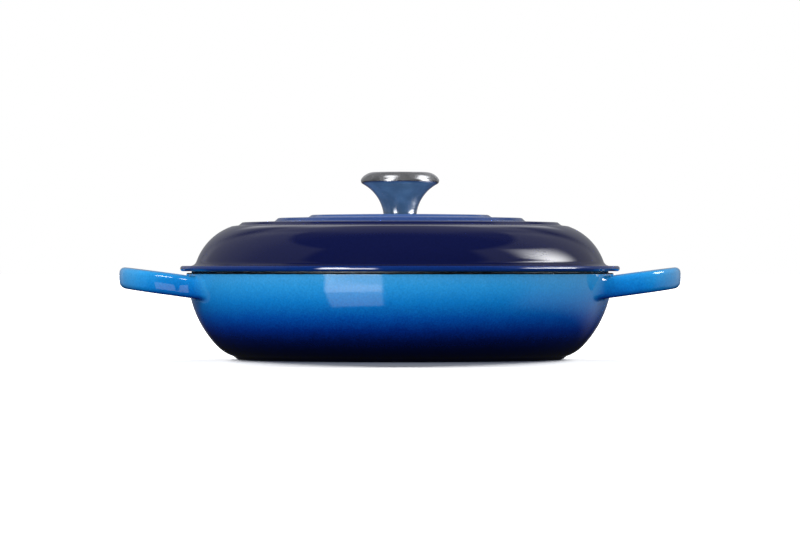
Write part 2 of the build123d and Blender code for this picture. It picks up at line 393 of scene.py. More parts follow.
def turning_tree() -> Tree:
    """Build the tree that turns a section about the Z axis, with a finish for each of its zones.

    Returns:
        The tree.
    """
    tree, given = new_group(
        "Turned section", Section="Geometry", Segments="Int",
        Outside="Material", Edge="Material", Inside="Material",
    )
    add = partial(add_node, tree)
    section, segments = given.outputs["Section"], given.outputs["Segments"]
    size = add("GeometryNodeAttributeDomainSize", {"component": "MESH"}, Geometry=section)
    rows = size.outputs["Point Count"]
    columns = add("ShaderNodeMath", {"operation": "ADD"}, in_0=segments, in_1=1)
    grid = add("GeometryNodeMeshGrid", Vertices_X=columns.outputs[0], Vertices_Y=rows)
    index = add("GeometryNodeInputIndex").outputs[0]
    row = add("ShaderNodeMath", {"operation": "MODULO"}, in_0=index, in_1=rows).outputs[0]
    share = add("ShaderNodeMath", {"operation": "DIVIDE"}, in_0=index, in_1=rows).outputs[0]
    column = add("ShaderNodeMath", {"operation": "FLOOR"}, in_0=share).outputs[0]
    part = add("ShaderNodeMath", {"operation": "DIVIDE"}, in_0=column, in_1=segments).outputs[0]
    angle = add("ShaderNodeMath", {"operation": "MULTIPLY"}, in_0=part, in_1=2 * pi).outputs[0]
    place = add("GeometryNodeInputPosition").outputs[0]
    on_row = add(
        "GeometryNodeSampleIndex", {"data_type": "FLOAT_VECTOR"}, Geometry=section, Value=place, Index=row
    ).outputs[0]
    turned = add("ShaderNodeVectorRotate", {"rotation_type": "Z_AXIS"}, Vector=on_row, Angle=angle)
    zone = add("GeometryNodeInputNamedAttribute", {"data_type": "FLOAT"}, Name="zone").outputs[0]
    row_zone = add(
        "GeometryNodeSampleIndex", {"data_type": "FLOAT"}, Geometry=section, Value=zone, Index=row
    ).outputs[0]
    marked = add(
        "GeometryNodeStoreNamedAttribute", {"data_type": "FLOAT"},
        Geometry=grid.outputs[0], Name="zone", Value=row_zone,
    )
    placed = add("GeometryNodeSetPosition", Geometry=marked.outputs[0], Position=turned.outputs[0])
    merged = add("GeometryNodeMergeByDistance", Geometry=placed.outputs[0], Distance=WELD)
    real = add("GeometryNodeRealizeInstances", Geometry=merged.outputs[0])
    dressed = real.outputs[0]
    for band in Zone:
        past = add("ShaderNodeMath", {"operation": "GREATER_THAN"}, in_0=zone, in_1=band.value - 0.5)
        dressed = add(
            "GeometryNodeSetMaterial", Geometry=dressed, Selection=past.outputs[0],
            Material=given.outputs[band.name.capitalize()],
        ).outputs[0]
    add("NodeGroupOutput", in_0=dressed)
    return tree


def turned_piece(name: str, section: np.ndarray, segments: int, tree: Tree, *finishes: Material) -> Piece:
    """Turn a section into a piece.

    Args:
        name: The name of the piece.
        section: Rows of radius, height and zone, in millimetres.
        segments: The number of segments round the axis.
        tree: The turning tree.
        finishes: The finish of each zone. The last one serves those that have none.

    Returns:
        The new object.
    """
    mesh = bpy.data.meshes.new(name)
    points = [(radius * MM, 0, height * MM) for radius, height, _ in section]
    mesh.from_pydata(points, [(i, i + 1) for i in range(len(points) - 1)], [])
    mesh.attributes.new("zone", "FLOAT", "POINT").data.foreach_set("value", section[:, 2])
    dress = (*finishes, *(finishes[-1],) * (len(Zone) - len(finishes)))
    return grown(name, tree, mesh, Segments=segments, Outside=dress[0], Edge=dress[1], Inside=dress[2])


# ---- finishes ----


def linear(code: str) -> tuple[float, float, float, float]:
    """Turn an sRGB hex colour to linear.

    Args:
        code: The colour as #rrggbb.

    Returns:
        Red, green, blue and an alpha of one.
    """
    shares = [int(code[i : i + 2], 16) / 255 for i in (1, 3, 5)]
    return (*(s / 12.92 if s <= 0.04045 else ((s + 0.055) / 1.055) ** 2.4 for s in shares), 1.0)


class Coat:
    """A material while it is built, with the places that its patterns run on, in metres."""

    # The noise lies between these values nearly everywhere.
    cloud_low, cloud_high = 0.3, 0.7

    def __init__(self, name: str) -> None:
        """Start the material.

        Args:
            name: Its name.
        """
        self.material = bpy.data.materials.new(name)
        self.material.use_nodes = True
        self.tree = self.material.node_tree
        self.tree.nodes.clear()
        self.add = partial(add_node, self.tree)
        self.spot = self.add("ShaderNodeTexCoord").outputs["Object"]
        apart = self.add("ShaderNodeSeparateXYZ", Vector=self.spot)
        self.height = apart.outputs["Z"]
        self.plan = self.add("ShaderNodeCombineXYZ", X=apart.outputs["X"], Y=apart.outputs["Y"])
        self.radius = self.add("ShaderNodeVectorMath", {"operation": "LENGTH"}, in_0=self.plan)

    def grain(self, size: float, low: float, high: float, detail: float = 2.0) -> Node:
        """Spread a cloud between two values.

        Args:
            size: The size of its grains in millimetres.
            low: The value of its dark parts.
            high: The value of its light parts.
            detail: The number of finer layers.

        Returns:
            The node with the value.
        """
        cloud = self.add("ShaderNodeTexNoise", Vector=self.spot, Scale=1 / (size * MM), Detail=detail)
        return self.add(
            "ShaderNodeMapRange", Value=cloud, From_Min=self.cloud_low, From_Max=self.cloud_high,
            To_Min=low, To_Max=high,
        )

    def finish(self, **inputs: object) -> Material:
        """End the material in one shader.

        Args:
            inputs: The shader's inputs, by name.

        Returns:
            The material.
        """
        shader = self.add("ShaderNodeBsdfPrincipled", **inputs)
        self.add("ShaderNodeOutputMaterial", Surface=shader)
        return self.material


@dataclass(frozen=True)
class SprayedEnamel:
    """Gloss vitreous enamel, sprayed on cast iron in a fade from light to dark and fired. In millimetres."""

    # The glassy coat gives the eye a deep colour under sharp and slightly wavy highlights, and the spray
    # gives the fade a grained edge. Droplets are 0.2 to 0.5 mm across, too fine to show, so their grain is
    # drawn at 1.1 mm. The waves of the fired coat are 4 to 5 mm long and a few thousandths deep.
    name: str
    along: Fade
    stops: tuple[tuple[float, str], ...]
    spray: float = 2.2
    grain: float = 1.1
    fine_detail: float = 3.0
    drift_grains: float = 9.0
    drift_share: float = 0.25
    tone: float = 0.09
    tone_grains: float = 1.3
    peel: float = 4.5
    peel_depth: float = 0.007
    grit_depth: float = 0.0012
    gloss_size: float = 22.0
    gloss: Point = (0.05, 0.09)
    ior: float = 1.5
    # The coat turns to matt black above the first height and within the second radius.
    rim: Point = (1000.0, 0.0)
    rim_edge: Point = (-0.1, 0.2)
    rim_wave: Point = (5.0, 0.2)
    rim_roughness: float = 0.5
    black: str = "#131316"

    def material(self) -> Material:
        """Build the material.

        Returns:
            The material.
        """
        coat = Coat(self.name)
        add = coat.add
        low, high = self.stops[0][0], self.stops[-1][0]
        spray, drifting = self.spray * MM, self.spray * self.drift_share * MM
        speck = coat.grain(self.grain, -spray, spray, self.fine_detail)
        drift = coat.grain(self.drift_grains * self.grain, -drifting, drifting)
        # A handle's "shade" attribute moves the fade darker: painted shade on its arms and underside.
        shade = add("ShaderNodeAttribute", {"attribute_name": "shade"}).outputs["Fac"]
        run = coat.height if self.along is Fade.HEIGHT else coat.radius
        for shift in (speck, drift, shade):
            run = add("ShaderNodeMath", {"operation": "ADD"}, in_0=run, in_1=shift)
        share = add("ShaderNodeMapRange", Value=run, From_Min=low * MM, From_Max=high * MM)
        stops = [((mm - low) / (high - low), linear(code)) for mm, code in self.stops]
        fade = add("ShaderNodeValToRGB", {"stops": stops}, Fac=share)
        light = coat.grain(self.tone_grains * self.grain, 1 - self.tone, 1 + self.tone, self.fine_detail)
        colour = add(
            "ShaderNodeMix", {"data_type": "RGBA", "blend_type": "MULTIPLY"}, Factor=1.0, A=fade, B=light
        )
        wander = coat.grain(self.rim_wave[0], 0, self.rim_wave[1] * MM)
        edge = add("ShaderNodeMath", {"operation": "ADD"}, in_0=coat.height, in_1=wander)
        start, end = ((self.rim[0] + shift) * MM for shift in self.rim_edge)
        above = add(
            "ShaderNodeMapRange", {"interpolation_type": "SMOOTHSTEP"},
            Value=edge, From_Min=start, From_Max=end,
        )
        within = add("ShaderNodeMath", {"operation": "LESS_THAN"}, in_0=coat.radius, in_1=self.rim[1] * MM)
        bare = add("ShaderNodeMath", {"operation": "MULTIPLY"}, in_0=above, in_1=within)
        trimmed = add("ShaderNodeMix", {"data_type": "RGBA"}, Factor=bare, A=colour, B=linear(self.black))
        glossy = coat.grain(self.gloss_size, *self.gloss)
        rough = add("ShaderNodeMix", Factor=bare, A=glossy, B=self.rim_roughness)
        peel, grit = coat.grain(self.peel, 0, 1, 1.0), coat.grain(self.grain, 0, 1)
        wave = add("ShaderNodeBump", Distance=self.peel_depth * MM, Height=peel)
        fine = add("ShaderNodeBump", Distance=self.grit_depth * MM, Height=grit, Normal=wave)
        return coat.finish(Base_Color=trimmed, Roughness=rough, IOR=self.ior, Normal=fine)


@dataclass(frozen=True)
class RimEnamel:
    """Matt black enamel, dipped thin on the faces that meet and left unglazed. In millimetres."""

    # It gives the eye a dry, dark line with almost no gloss. Its grit is 0.1 to 0.2 mm across, too fine to
    # show, so it is drawn at 0.8 mm.
    name: str = "matt black rim enamel"
    dark: str = "#0c0c0e"
    pale: str = "#151518"
    grit: float = 0.8
    grit_depth: float = 0.02
    detail: float = 4.0
    rough_size: float = 3.0
    roughness: Point = (0.42, 0.6)
    ior: float = 1.5

    def material(self) -> Material:
        """Build the material.

        Returns:
            The material.
        """
        coat = Coat(self.name)
        grit = coat.grain(self.grit, 0, 1, self.detail)
        stops = [(0.0, linear(self.dark)), (1.0, linear(self.pale))]
        tone = coat.add("ShaderNodeValToRGB", {"stops": stops}, Fac=grit)
        sand = coat.add("ShaderNodeBump", Distance=self.grit_depth * MM, Height=grit)
        rough = coat.grain(self.rough_size, *self.roughness)
        return coat.finish(Base_Color=tone, Roughness=rough, IOR=self.ior, Normal=sand)


@dataclass(frozen=True)
class LiningEnamel:
    """Pale sand enamel, poured over the inside and fired to a gloss. In millimetres."""

    # It gives the eye a warm, even glaze with faint specks, a little warmer where it lies thin. The specks
    # are about 0.3 mm across, too fine to show, so they are drawn at 1.2 mm.
    name: str = "sand lining enamel"
    warm: str = "#e0d4bb"
    pale: str = "#e6dcc6"
    speck: str = "#b3a180"
    tone_size: float = 26.0
    tone_detail: float = 3.0
    speck_size: float = 1.2
    speck_start: float = 0.86
    speck_strength: float = 0.3
    wave: float = 6.0
    wave_depth: float = 0.01
    rough_size: float = 20.0
    roughness: Point = (0.12, 0.18)
    ior: float = 1.5

    def material(self) -> Material:
        """Build the material.

        Returns:
            The material.
        """
        coat = Coat(self.name)
        add = coat.add
        stops = [(0.0, linear(self.warm)), (1.0, linear(self.pale))]
        cloud = coat.grain(self.tone_size, 0, 1, self.tone_detail)
        tone = add("ShaderNodeValToRGB", {"stops": stops}, Fac=cloud)
        specks = coat.grain(self.speck_size, 0, 1)
        spots = add(
            "ShaderNodeMapRange", Value=specks, From_Min=self.speck_start, To_Max=self.speck_strength
        )
        mixed = add("ShaderNodeMix", {"data_type": "RGBA"}, Factor=spots, A=tone, B=linear(self.speck))
        wave = add("ShaderNodeBump", Distance=self.wave_depth * MM, Height=coat.grain(self.wave, 0, 1, 1.0))
        rough = coat.grain(self.rough_size, *self.roughness)
        return coat.finish(Base_Color=mixed, Roughness=rough, IOR=self.ior, Normal=wave)


@dataclass(frozen=True)
class SpunSteel:
    """Stainless steel, polished or turned on a lathe. In millimetres."""

    # The tool leaves rings that give the eye a soft, slightly streaked shine round the axis. They are 0.02
    # to 0.05 mm apart, too fine to show, so they are drawn 0.25 to 0.35 mm apart.
    name: str
    pale: str
    dark: str
    roughness: float
    line: float
    depth: float
    wander_lines: float = 6.0
    detail: float = 2.0
    cloud: float = 9.0
    cloud_share: float = 0.5
    tone_ends: Point = (0.3, 0.7)
    rough_ends: Point = (0.8, 1.2)

    def material(self) -> Material:
        """Build the material.

        Returns:
            The material.
        """
        coat = Coat(self.name)
        add = coat.add
        turn = add("ShaderNodeVectorMath", {"operation": "NORMALIZE"}, in_0=coat.plan)
        reach = self.wander_lines * self.line * MM
        ring = add("ShaderNodeVectorMath", {"operation": "SCALE"}, in_0=turn, Scale=reach)
        across = add("ShaderNodeMath", {"operation": "ADD"}, in_0=coat.radius, in_1=coat.height)
        lift = add("ShaderNodeCombineXYZ", Z=across)
        place = add("ShaderNodeVectorMath", {"operation": "ADD"}, in_0=ring, in_1=lift)
        scale = 1 / (self.line * MM)
        lines = add("ShaderNodeTexNoise", Vector=place, Scale=scale, Detail=self.detail)
        cloud = coat.grain(self.cloud, 0, 1)
        both = add("ShaderNodeMix", Factor=self.cloud_share, A=lines, B=cloud)
        stops = list(zip(self.tone_ends, (linear(self.dark), linear(self.pale))))
        tone = add("ShaderNodeValToRGB", {"stops": stops}, Fac=both)
        least, most = (self.roughness * end for end in self.rough_ends)
        rough = add("ShaderNodeMapRange", Value=lines, To_Min=least, To_Max=most)
        brushed = add("ShaderNodeBump", Distance=self.depth * MM, Height=lines)
        return coat.finish(Base_Color=tone, Metallic=1.0, Roughness=rough, Normal=brushed)


# ---- pan ----


@dataclass
class Pan:
    """The pan: one casting of floor, wall, rim band, ring foot and two loop handles. Sizes in millimetres."""

    rim_height: float = 61.5
    wall_radius: float = 151.0
    wall: float = 3.8
    wall_curve: float = 75.0
    base_curve: float = 28.0
    foot_lift: float = 1.0
    foot_outset: float = 5.4
    foot_flare: float = 3.4
    foot_width: float = 9.0
    foot_round: float = 0.8
    foot_blend: float = 1.6
    rim_lip: float = 1.3
    rim_ease: float = 0.4
    rim_band: float = 9.0
    rim_slope: float = 8.0
    rim_round: float = 1.2
    rim_inner_round: float = 0.5
    rim_blend: float = 8.0
    rim_wrap: float = 1.2
    segments: int = 288

    def section(self) -> np.ndarray:
        """Draw the section from the middle of the underside, round the rim and to the middle of the floor.

        Returns:
            Rows of radius, height and zone.
        """
        wall_centre = (self.wall_radius - self.wall_curve, self.rim_height)
        base_z = self.foot_lift + self.base_curve
        step = sqrt((self.wall_curve - self.base_curve) ** 2 - (self.rim_height - base_z) ** 2)
        base_centre = (wall_centre[0] + step, base_z)
        join = degrees(atan2(base_z - self.rim_height, step))
        foot = base_centre[0] + self.foot_outset
        foot_angle = -degrees(acos((self.foot_outset + self.foot_flare) / self.base_curve))
        band_angle = -degrees(asin(self.rim_band / self.wall_curve))
        rim = self.wall_radius + self.rim_lip - self.rim_ease
        band_foot = polar(wall_centre, self.wall_curve, band_angle)
        inner = self.wall_radius - self.wall
        outline = Outline((0, self.foot_lift))
        hollow = foot - self.foot_width
        outline.line((hollow, self.foot_lift), corner=self.foot_round)
        outline.line((hollow, 0), corner=self.foot_round / 2).line((foot, 0), corner=self.foot_round)
        outline.line(polar(base_centre, self.base_curve, foot_angle), corner=self.foot_blend)
        outline.arc(base_centre, self.base_curve, foot_angle, join)
        outline.arc(wall_centre, self.wall_curve, join, band_angle, corner=self.rim_blend)
        outline.line((rim, band_foot[1] + self.rim_slope), corner=self.rim_blend)
        outline.line((rim, self.rim_height), corner=self.rim_round).enter(Zone.EDGE)
        outline.line((inner, self.rim_height), corner=self.rim_inner_round)
        inner_curve = self.wall_curve - self.wall
        wrap_angle = -degrees(self.rim_wrap / inner_curve)
        outline.arc(wall_centre, inner_curve, 0, wrap_angle).enter(Zone.INSIDE)
        outline.arc(wall_centre, inner_curve, wrap_angle, join)
        outline.arc(base_centre, self.base_curve - self.wall, join, -90)
        outline.line((0, self.foot_lift + self.wall))
        return outline.respaced()

    def build(self, tree: Tree, outside: Material, edge: Material, inside: Material) -> list[Piece]:
        """Build the turned casting and its two handles.

        Args:
            tree: The turning tree.
            outside: The enamel of the outside and the handles.
            edge: The enamel of the rim.
            inside: The enamel of the lining.

        Returns:
            The three pieces.
        """
        section = self.section()
        casting = turned_piece("pan_casting", section, self.segments, tree, outside, edge, inside)
        handle = Handle(self, section)
        sides = {"pan_handle_right": 1, "pan_handle_left": -1}
        return [casting, *(handle.build(name, side, outside) for name, side in sides.items())]


@dataclass
class Handle:
    """A loop handle that grows out of the pan's wall. Sizes in millimetres."""

    pan: Pan
    section: np.ndarray
    projection: float = 48.76
    width: float = 108.6
    thickness: float = 14.9
    drop: float = 9.6
    tilt_angle: float = 7.7
    neck: float = 5.0
    bar: float = 17.0
    end_curve: float = 76.0
    side_curve: float = 71.0
    corner: float = 26.0
    edge_round: float = 3.8
    flare: float = 14.0
    top_blend: float = 3.0
    foot_blend: float = 2.0
    draft: float = 0.09
    # Painted shade: the arms are moved this far down the pan's fade, less at the tip by this share, and the
    # underside this much further.
    arm_painted_shade: float = 13.0
    tip_share: float = 0.7
    underside_painted_shade: float = 16.0
    squareness: float = 0.62
    around: int = 72
    step: float = 1.4
    wall_probe: float = 0.3
    draft_ease: float = 0.5
    least_blend: float = 0.05
    # Points are settled on the surface in this many steps, none longer than this.
    rounds: int = 7
    nudge: float = 0.01
    least_slope: float = 0.2
    longest_move: float = 2.0
    # The first rings of a root, inside the wall: how much larger they are, and how far out.
    root_starts: tuple[Point, ...] = ((1.2, -1.0), (1.2, -0.02), (0.4, 0.0))
    root_steps: int = 15
    root_rounds: int = 4
    root_power: int = 3
    rim_gap: float = 0.9
    shade_reach: float = 11.0
    shade_edge: float = 1.5
    tip_start: float = 16.0
    tip_run: float = 26.0
    under_start: float = 0.78
    under_run: float = 0.2
    under_reach: float = 3.0
    sides: tuple[np.ndarray, np.ndarray] = field(init=False)

    def __post_init__(self) -> None:
        """Work out the centres of the plan's arcs and the wall's outside by height."""
        self.side_centre = np.array([self.pan.wall_radius + self.neck, self.width / 2 - self.side_curve])
        self.end_centre = np.array([self.pan.wall_radius + self.projection - self.end_curve, 0.0])
        near, far = self.side_curve - self.corner, self.end_curve - self.corner
        apart = self.end_centre - self.side_centre
        gap = float(np.linalg.norm(apart))
        along = (gap**2 + near**2 - far**2) / (2 * gap)
        lift = sqrt(near**2 - along**2)
        axis = apart / gap
        self.knee = self.side_centre + axis * along + np.array([axis[1], -axis[0]]) * lift
        if self.knee[1] < 0:
            self.knee = self.side_centre + axis * along - np.array([axis[1], -axis[0]]) * lift
        rows = self.section[self.section[:, 2] == Zone.OUTSIDE.value]
        rows = rows[rows[:, 1] > self.pan.base_curve / 2]
        self.sides = (rows[:, 1], rows[:, 0])

    def level(self, x: np.ndarray) -> np.ndarray:
        """Return the height of the loop's middle plane over a distance from the axis."""
        rise = tan(radians(self.tilt_angle))
        return self.pan.rim_height - self.drop + (x - self.pan.wall_radius) * rise

    def wall_at(self, height: np.ndarray) -> np.ndarray:
        """Return the pan's outside radius at a height."""
        return np.interp(height, *self.sides)

    def wall_gap(self, points: np.ndarray) -> np.ndarray:
        """Return how far points are outside the pan's wall.

        Args:
            points: The points, as rows of X, Y and Z.

        Returns:
            A distance for each point, negative inside the wall.
        """
        high, low = points[:, 2] + self.wall_probe, points[:, 2] - self.wall_probe
        slope = (self.wall_at(high) - self.wall_at(low)) / (2 * self.wall_probe)
        return (np.hypot(points[:, 0], points[:, 1]) - self.wall_at(points[:, 2])) / np.sqrt(1 + slope**2)

    def plan_gap(self, points: np.ndarray) -> np.ndarray:
        """Return how far points are outside the loop in plan.

        Args:
            points: The points, as rows of X, Y and Z.

        Returns:
            A distance for each point, negative within the bar.
        """
        x, y = points[:, 0], np.abs(points[:, 1])
        side = np.where(
            x > self.side_centre[0],
            np.hypot(x - self.side_centre[0], y - self.side_centre[1]),
            y - self.side_centre[1],
        )
        end = np.hypot(x - self.end_centre[0], y)
        gap = np.maximum(side - self.side_curve, end - self.end_curve)
        turn = np.arctan2(y - self.knee[1], x - self.knee[0])
        first = atan2(self.knee[1], self.knee[0] - self.end_centre[0])
        last = atan2(*(self.knee - self.side_centre)[::-1])
        round_gap = np.hypot(x - self.knee[0], y - self.knee[1]) - self.corner
        gap = np.where((turn > first) & (turn < last), round_gap, gap)
        return np.abs(gap + self.bar / 2) - self.bar / 2

    def above(self, points: np.ndarray) -> np.ndarray:
        """Return how far points are above the loop's middle plane."""
        return (points[:, 2] - self.level(points[:, 0])) * cos(radians(self.tilt_angle))

    def gap(self, points: np.ndarray) -> np.ndarray:
        """Return how far points are outside the wall and loop, which flares in plan where it meets the wall.

        Args:
            points: The points, as rows of X, Y and Z.

        Returns:
            A distance for each point, negative inside the iron.
        """
        wall, plan, height = self.wall_gap(points), self.plan_gap(points), self.above(points)
        fan = np.maximum(self.flare - np.abs(wall - plan), 0) ** 2 / (4 * self.flare)
        lean = self.draft * np.sqrt(height**2 + self.draft_ease**2)
        across = np.minimum(wall, plan) - fan + self.edge_round + lean
        up = np.abs(height) - self.thickness / 2 + self.edge_round
        loop = np.minimum(np.maximum(across, up), 0) + np.hypot(np.maximum(across, 0), np.maximum(up, 0))
        loop -= self.edge_round
        blend = np.where(height > 0, self.top_blend, self.foot_blend) * np.clip(fan, self.least_blend, 1)
        near = np.maximum(blend - np.abs(wall - loop), 0)
        return np.minimum(wall, loop) - near**2 / (4 * blend)

    def settled(self, points: np.ndarray) -> np.ndarray:
        """Move points onto the blended surface, each along its own slope.

        Args:
            points: The points, as rows of X, Y and Z.

        Returns:
            The moved points.
        """
        nudges = self.nudge * np.eye(3)
        for _ in range(self.rounds):
            value = self.gap(points)
            rises = [self.gap(points + nudge) - self.gap(points - nudge) for nudge in nudges]
            slope = np.stack(rises, axis=1) / (2 * self.nudge)
            move = value / np.maximum((slope**2).sum(axis=1), self.least_slope)
            points = points - slope * np.clip(move, -self.longest_move, self.longest_move)[:, None]
        return points

    def middle_line(self) -> np.ndarray:
        """Follow the loop's middle line from the neck to the tip.

        Returns:
            Rows of place and heading in plan.
        """
        half = self.bar / 2
        first = degrees(atan2(*(self.knee - self.side_centre)[::-1]))
        last = degrees(atan2(self.knee[1], self.knee[0] - self.end_centre[0]))
        runs = (
            (self.side_centre, self.side_curve - half, 90.0, first),
            (self.knee, self.corner - half, first, last),
            (self.end_centre, self.end_curve - half, last, 0.0),
        )
        rows = []
        for centre, radius, start, stop in runs:
            steps = ceil(radians(start - stop) * radius / self.step)
            for angle in np.linspace(start, stop, steps, endpoint=False):
                rows.append((*polar(centre, radius, angle), cos(radians(angle)), sin(radians(angle))))
        rows.append((self.end_centre[0] + self.end_curve - half, 0.0, 1.0, 0.0))
        return np.array(rows)

    def outline(self, angles: np.ndarray) -> tuple[np.ndarray, np.ndarray]:
        """Return the shares of the half width and half height that a bar's section has at each angle."""
        shares = np.cos(angles), np.sin(angles)
        return tuple(np.sign(share) * np.abs(share) ** self.squareness for share in shares)

    def root_rings(self, angles: np.ndarray) -> list[np.ndarray]:
        """Ring one root, from inside the wall to the straight of the bar.

        Args:
            angles: The angles of a ring's points round the bar.

        Returns:
            The rings.
        """
        out_y, out_z = self.outline(angles)
        blend = np.where(out_z > 0, self.top_blend, self.foot_blend)
        middle = self.width / 2 - self.bar / 2
        stations = [(1.0, *start) for start in self.root_starts]
        turns = np.linspace(pi / 2, 0, self.root_steps)
        stations += [(1 - cos(turn), 0.0, 1 - sin(turn)) for turn in turns]
        rings = []
        for reach, margin, along in stations:
            y = middle + (self.bar / 2 + self.flare * reach + margin) * out_y
            up = (self.thickness / 2 + blend * reach + margin) * out_z
            spread = blend + (self.flare - blend) * np.abs(out_y) ** self.root_power
            x = np.full_like(y, self.pan.wall_radius - self.neck)
            for _ in range(self.root_rounds):
                z = np.minimum(self.level(x) + up, self.pan.rim_height - self.rim_gap)
                x = np.sqrt(self.wall_at(z) ** 2 - y**2) + (along if along < 0 else along * spread)
            ring = np.stack([x, y, z], axis=1)
            rings.append(ring if along < 0 else self.settled(ring))
        return rings

    def build(self, name: str, side: int, finish: Material) -> Piece:
        """Build one handle.

        Args:
            name: The name of the piece.
            side: One for the handle towards +X, minus one for the other.
            finish: Its enamel.

        Returns:
            The new object.
        """
        angles = np.linspace(0, 2 * pi, self.around, endpoint=False)
        rings = self.root_rings(angles)
        out, up = self.outline(angles)
        for x, y, head_x, head_y in self.middle_line():
            ring_x, ring_y = x + self.bar / 2 * out * head_x, y + self.bar / 2 * out * head_y
            ring = np.stack([ring_x, ring_y, self.level(ring_x) + self.thickness / 2 * up], axis=1)
            rings.append(self.settled(ring))
        half = np.array(rings)
        other = half[-2::-1] * np.array([1, -1, 1])
        loop = np.concatenate([half, other]) * np.array([side, 1, 1])
        piece = skin(name, loop, finish)
        points = np.array([vertex.co[:] for vertex in piece.data.vertices]) / MM
        shade = self.shade(points * [side, 1, 1])
        piece.data.attributes.new("shade", "FLOAT", "POINT").data.foreach_set("value", shade)
        return piece

    def shade(self, points: np.ndarray) -> np.ndarray:
        """Return how far down the pan's fade each point is moved, as painted shade: the arms and their roots
        are darker, less so at the tip, and the underside darker still, except where it meets the wall.

        Args:
            points: The points, as rows of X, Y and Z.

        Returns:
            A shift for each point, in metres.
        """
        height = self.above(points)
        root = np.clip(1 - self.plan_gap(points) / self.shade_reach, 0, 1)
        half = self.thickness / 2
        within = np.clip((half + self.shade_edge - np.abs(height)) / (2 * self.shade_edge), 0, 1)
        tip = np.clip((points[:, 0] - self.pan.wall_radius - self.tip_start) / self.tip_run, 0, 1)
        out = root * root * (3 - 2 * root) * within * (1 - self.tip_share * tip)
        low = np.clip((-height / half - self.under_start) / self.under_run, 0, 1)
        near = np.clip(self.wall_gap(points) / self.under_reach, 0, 1)
        return -(self.arm_painted_shade * out + self.underside_painted_shade * low * near) * MM


# ---- lid ----


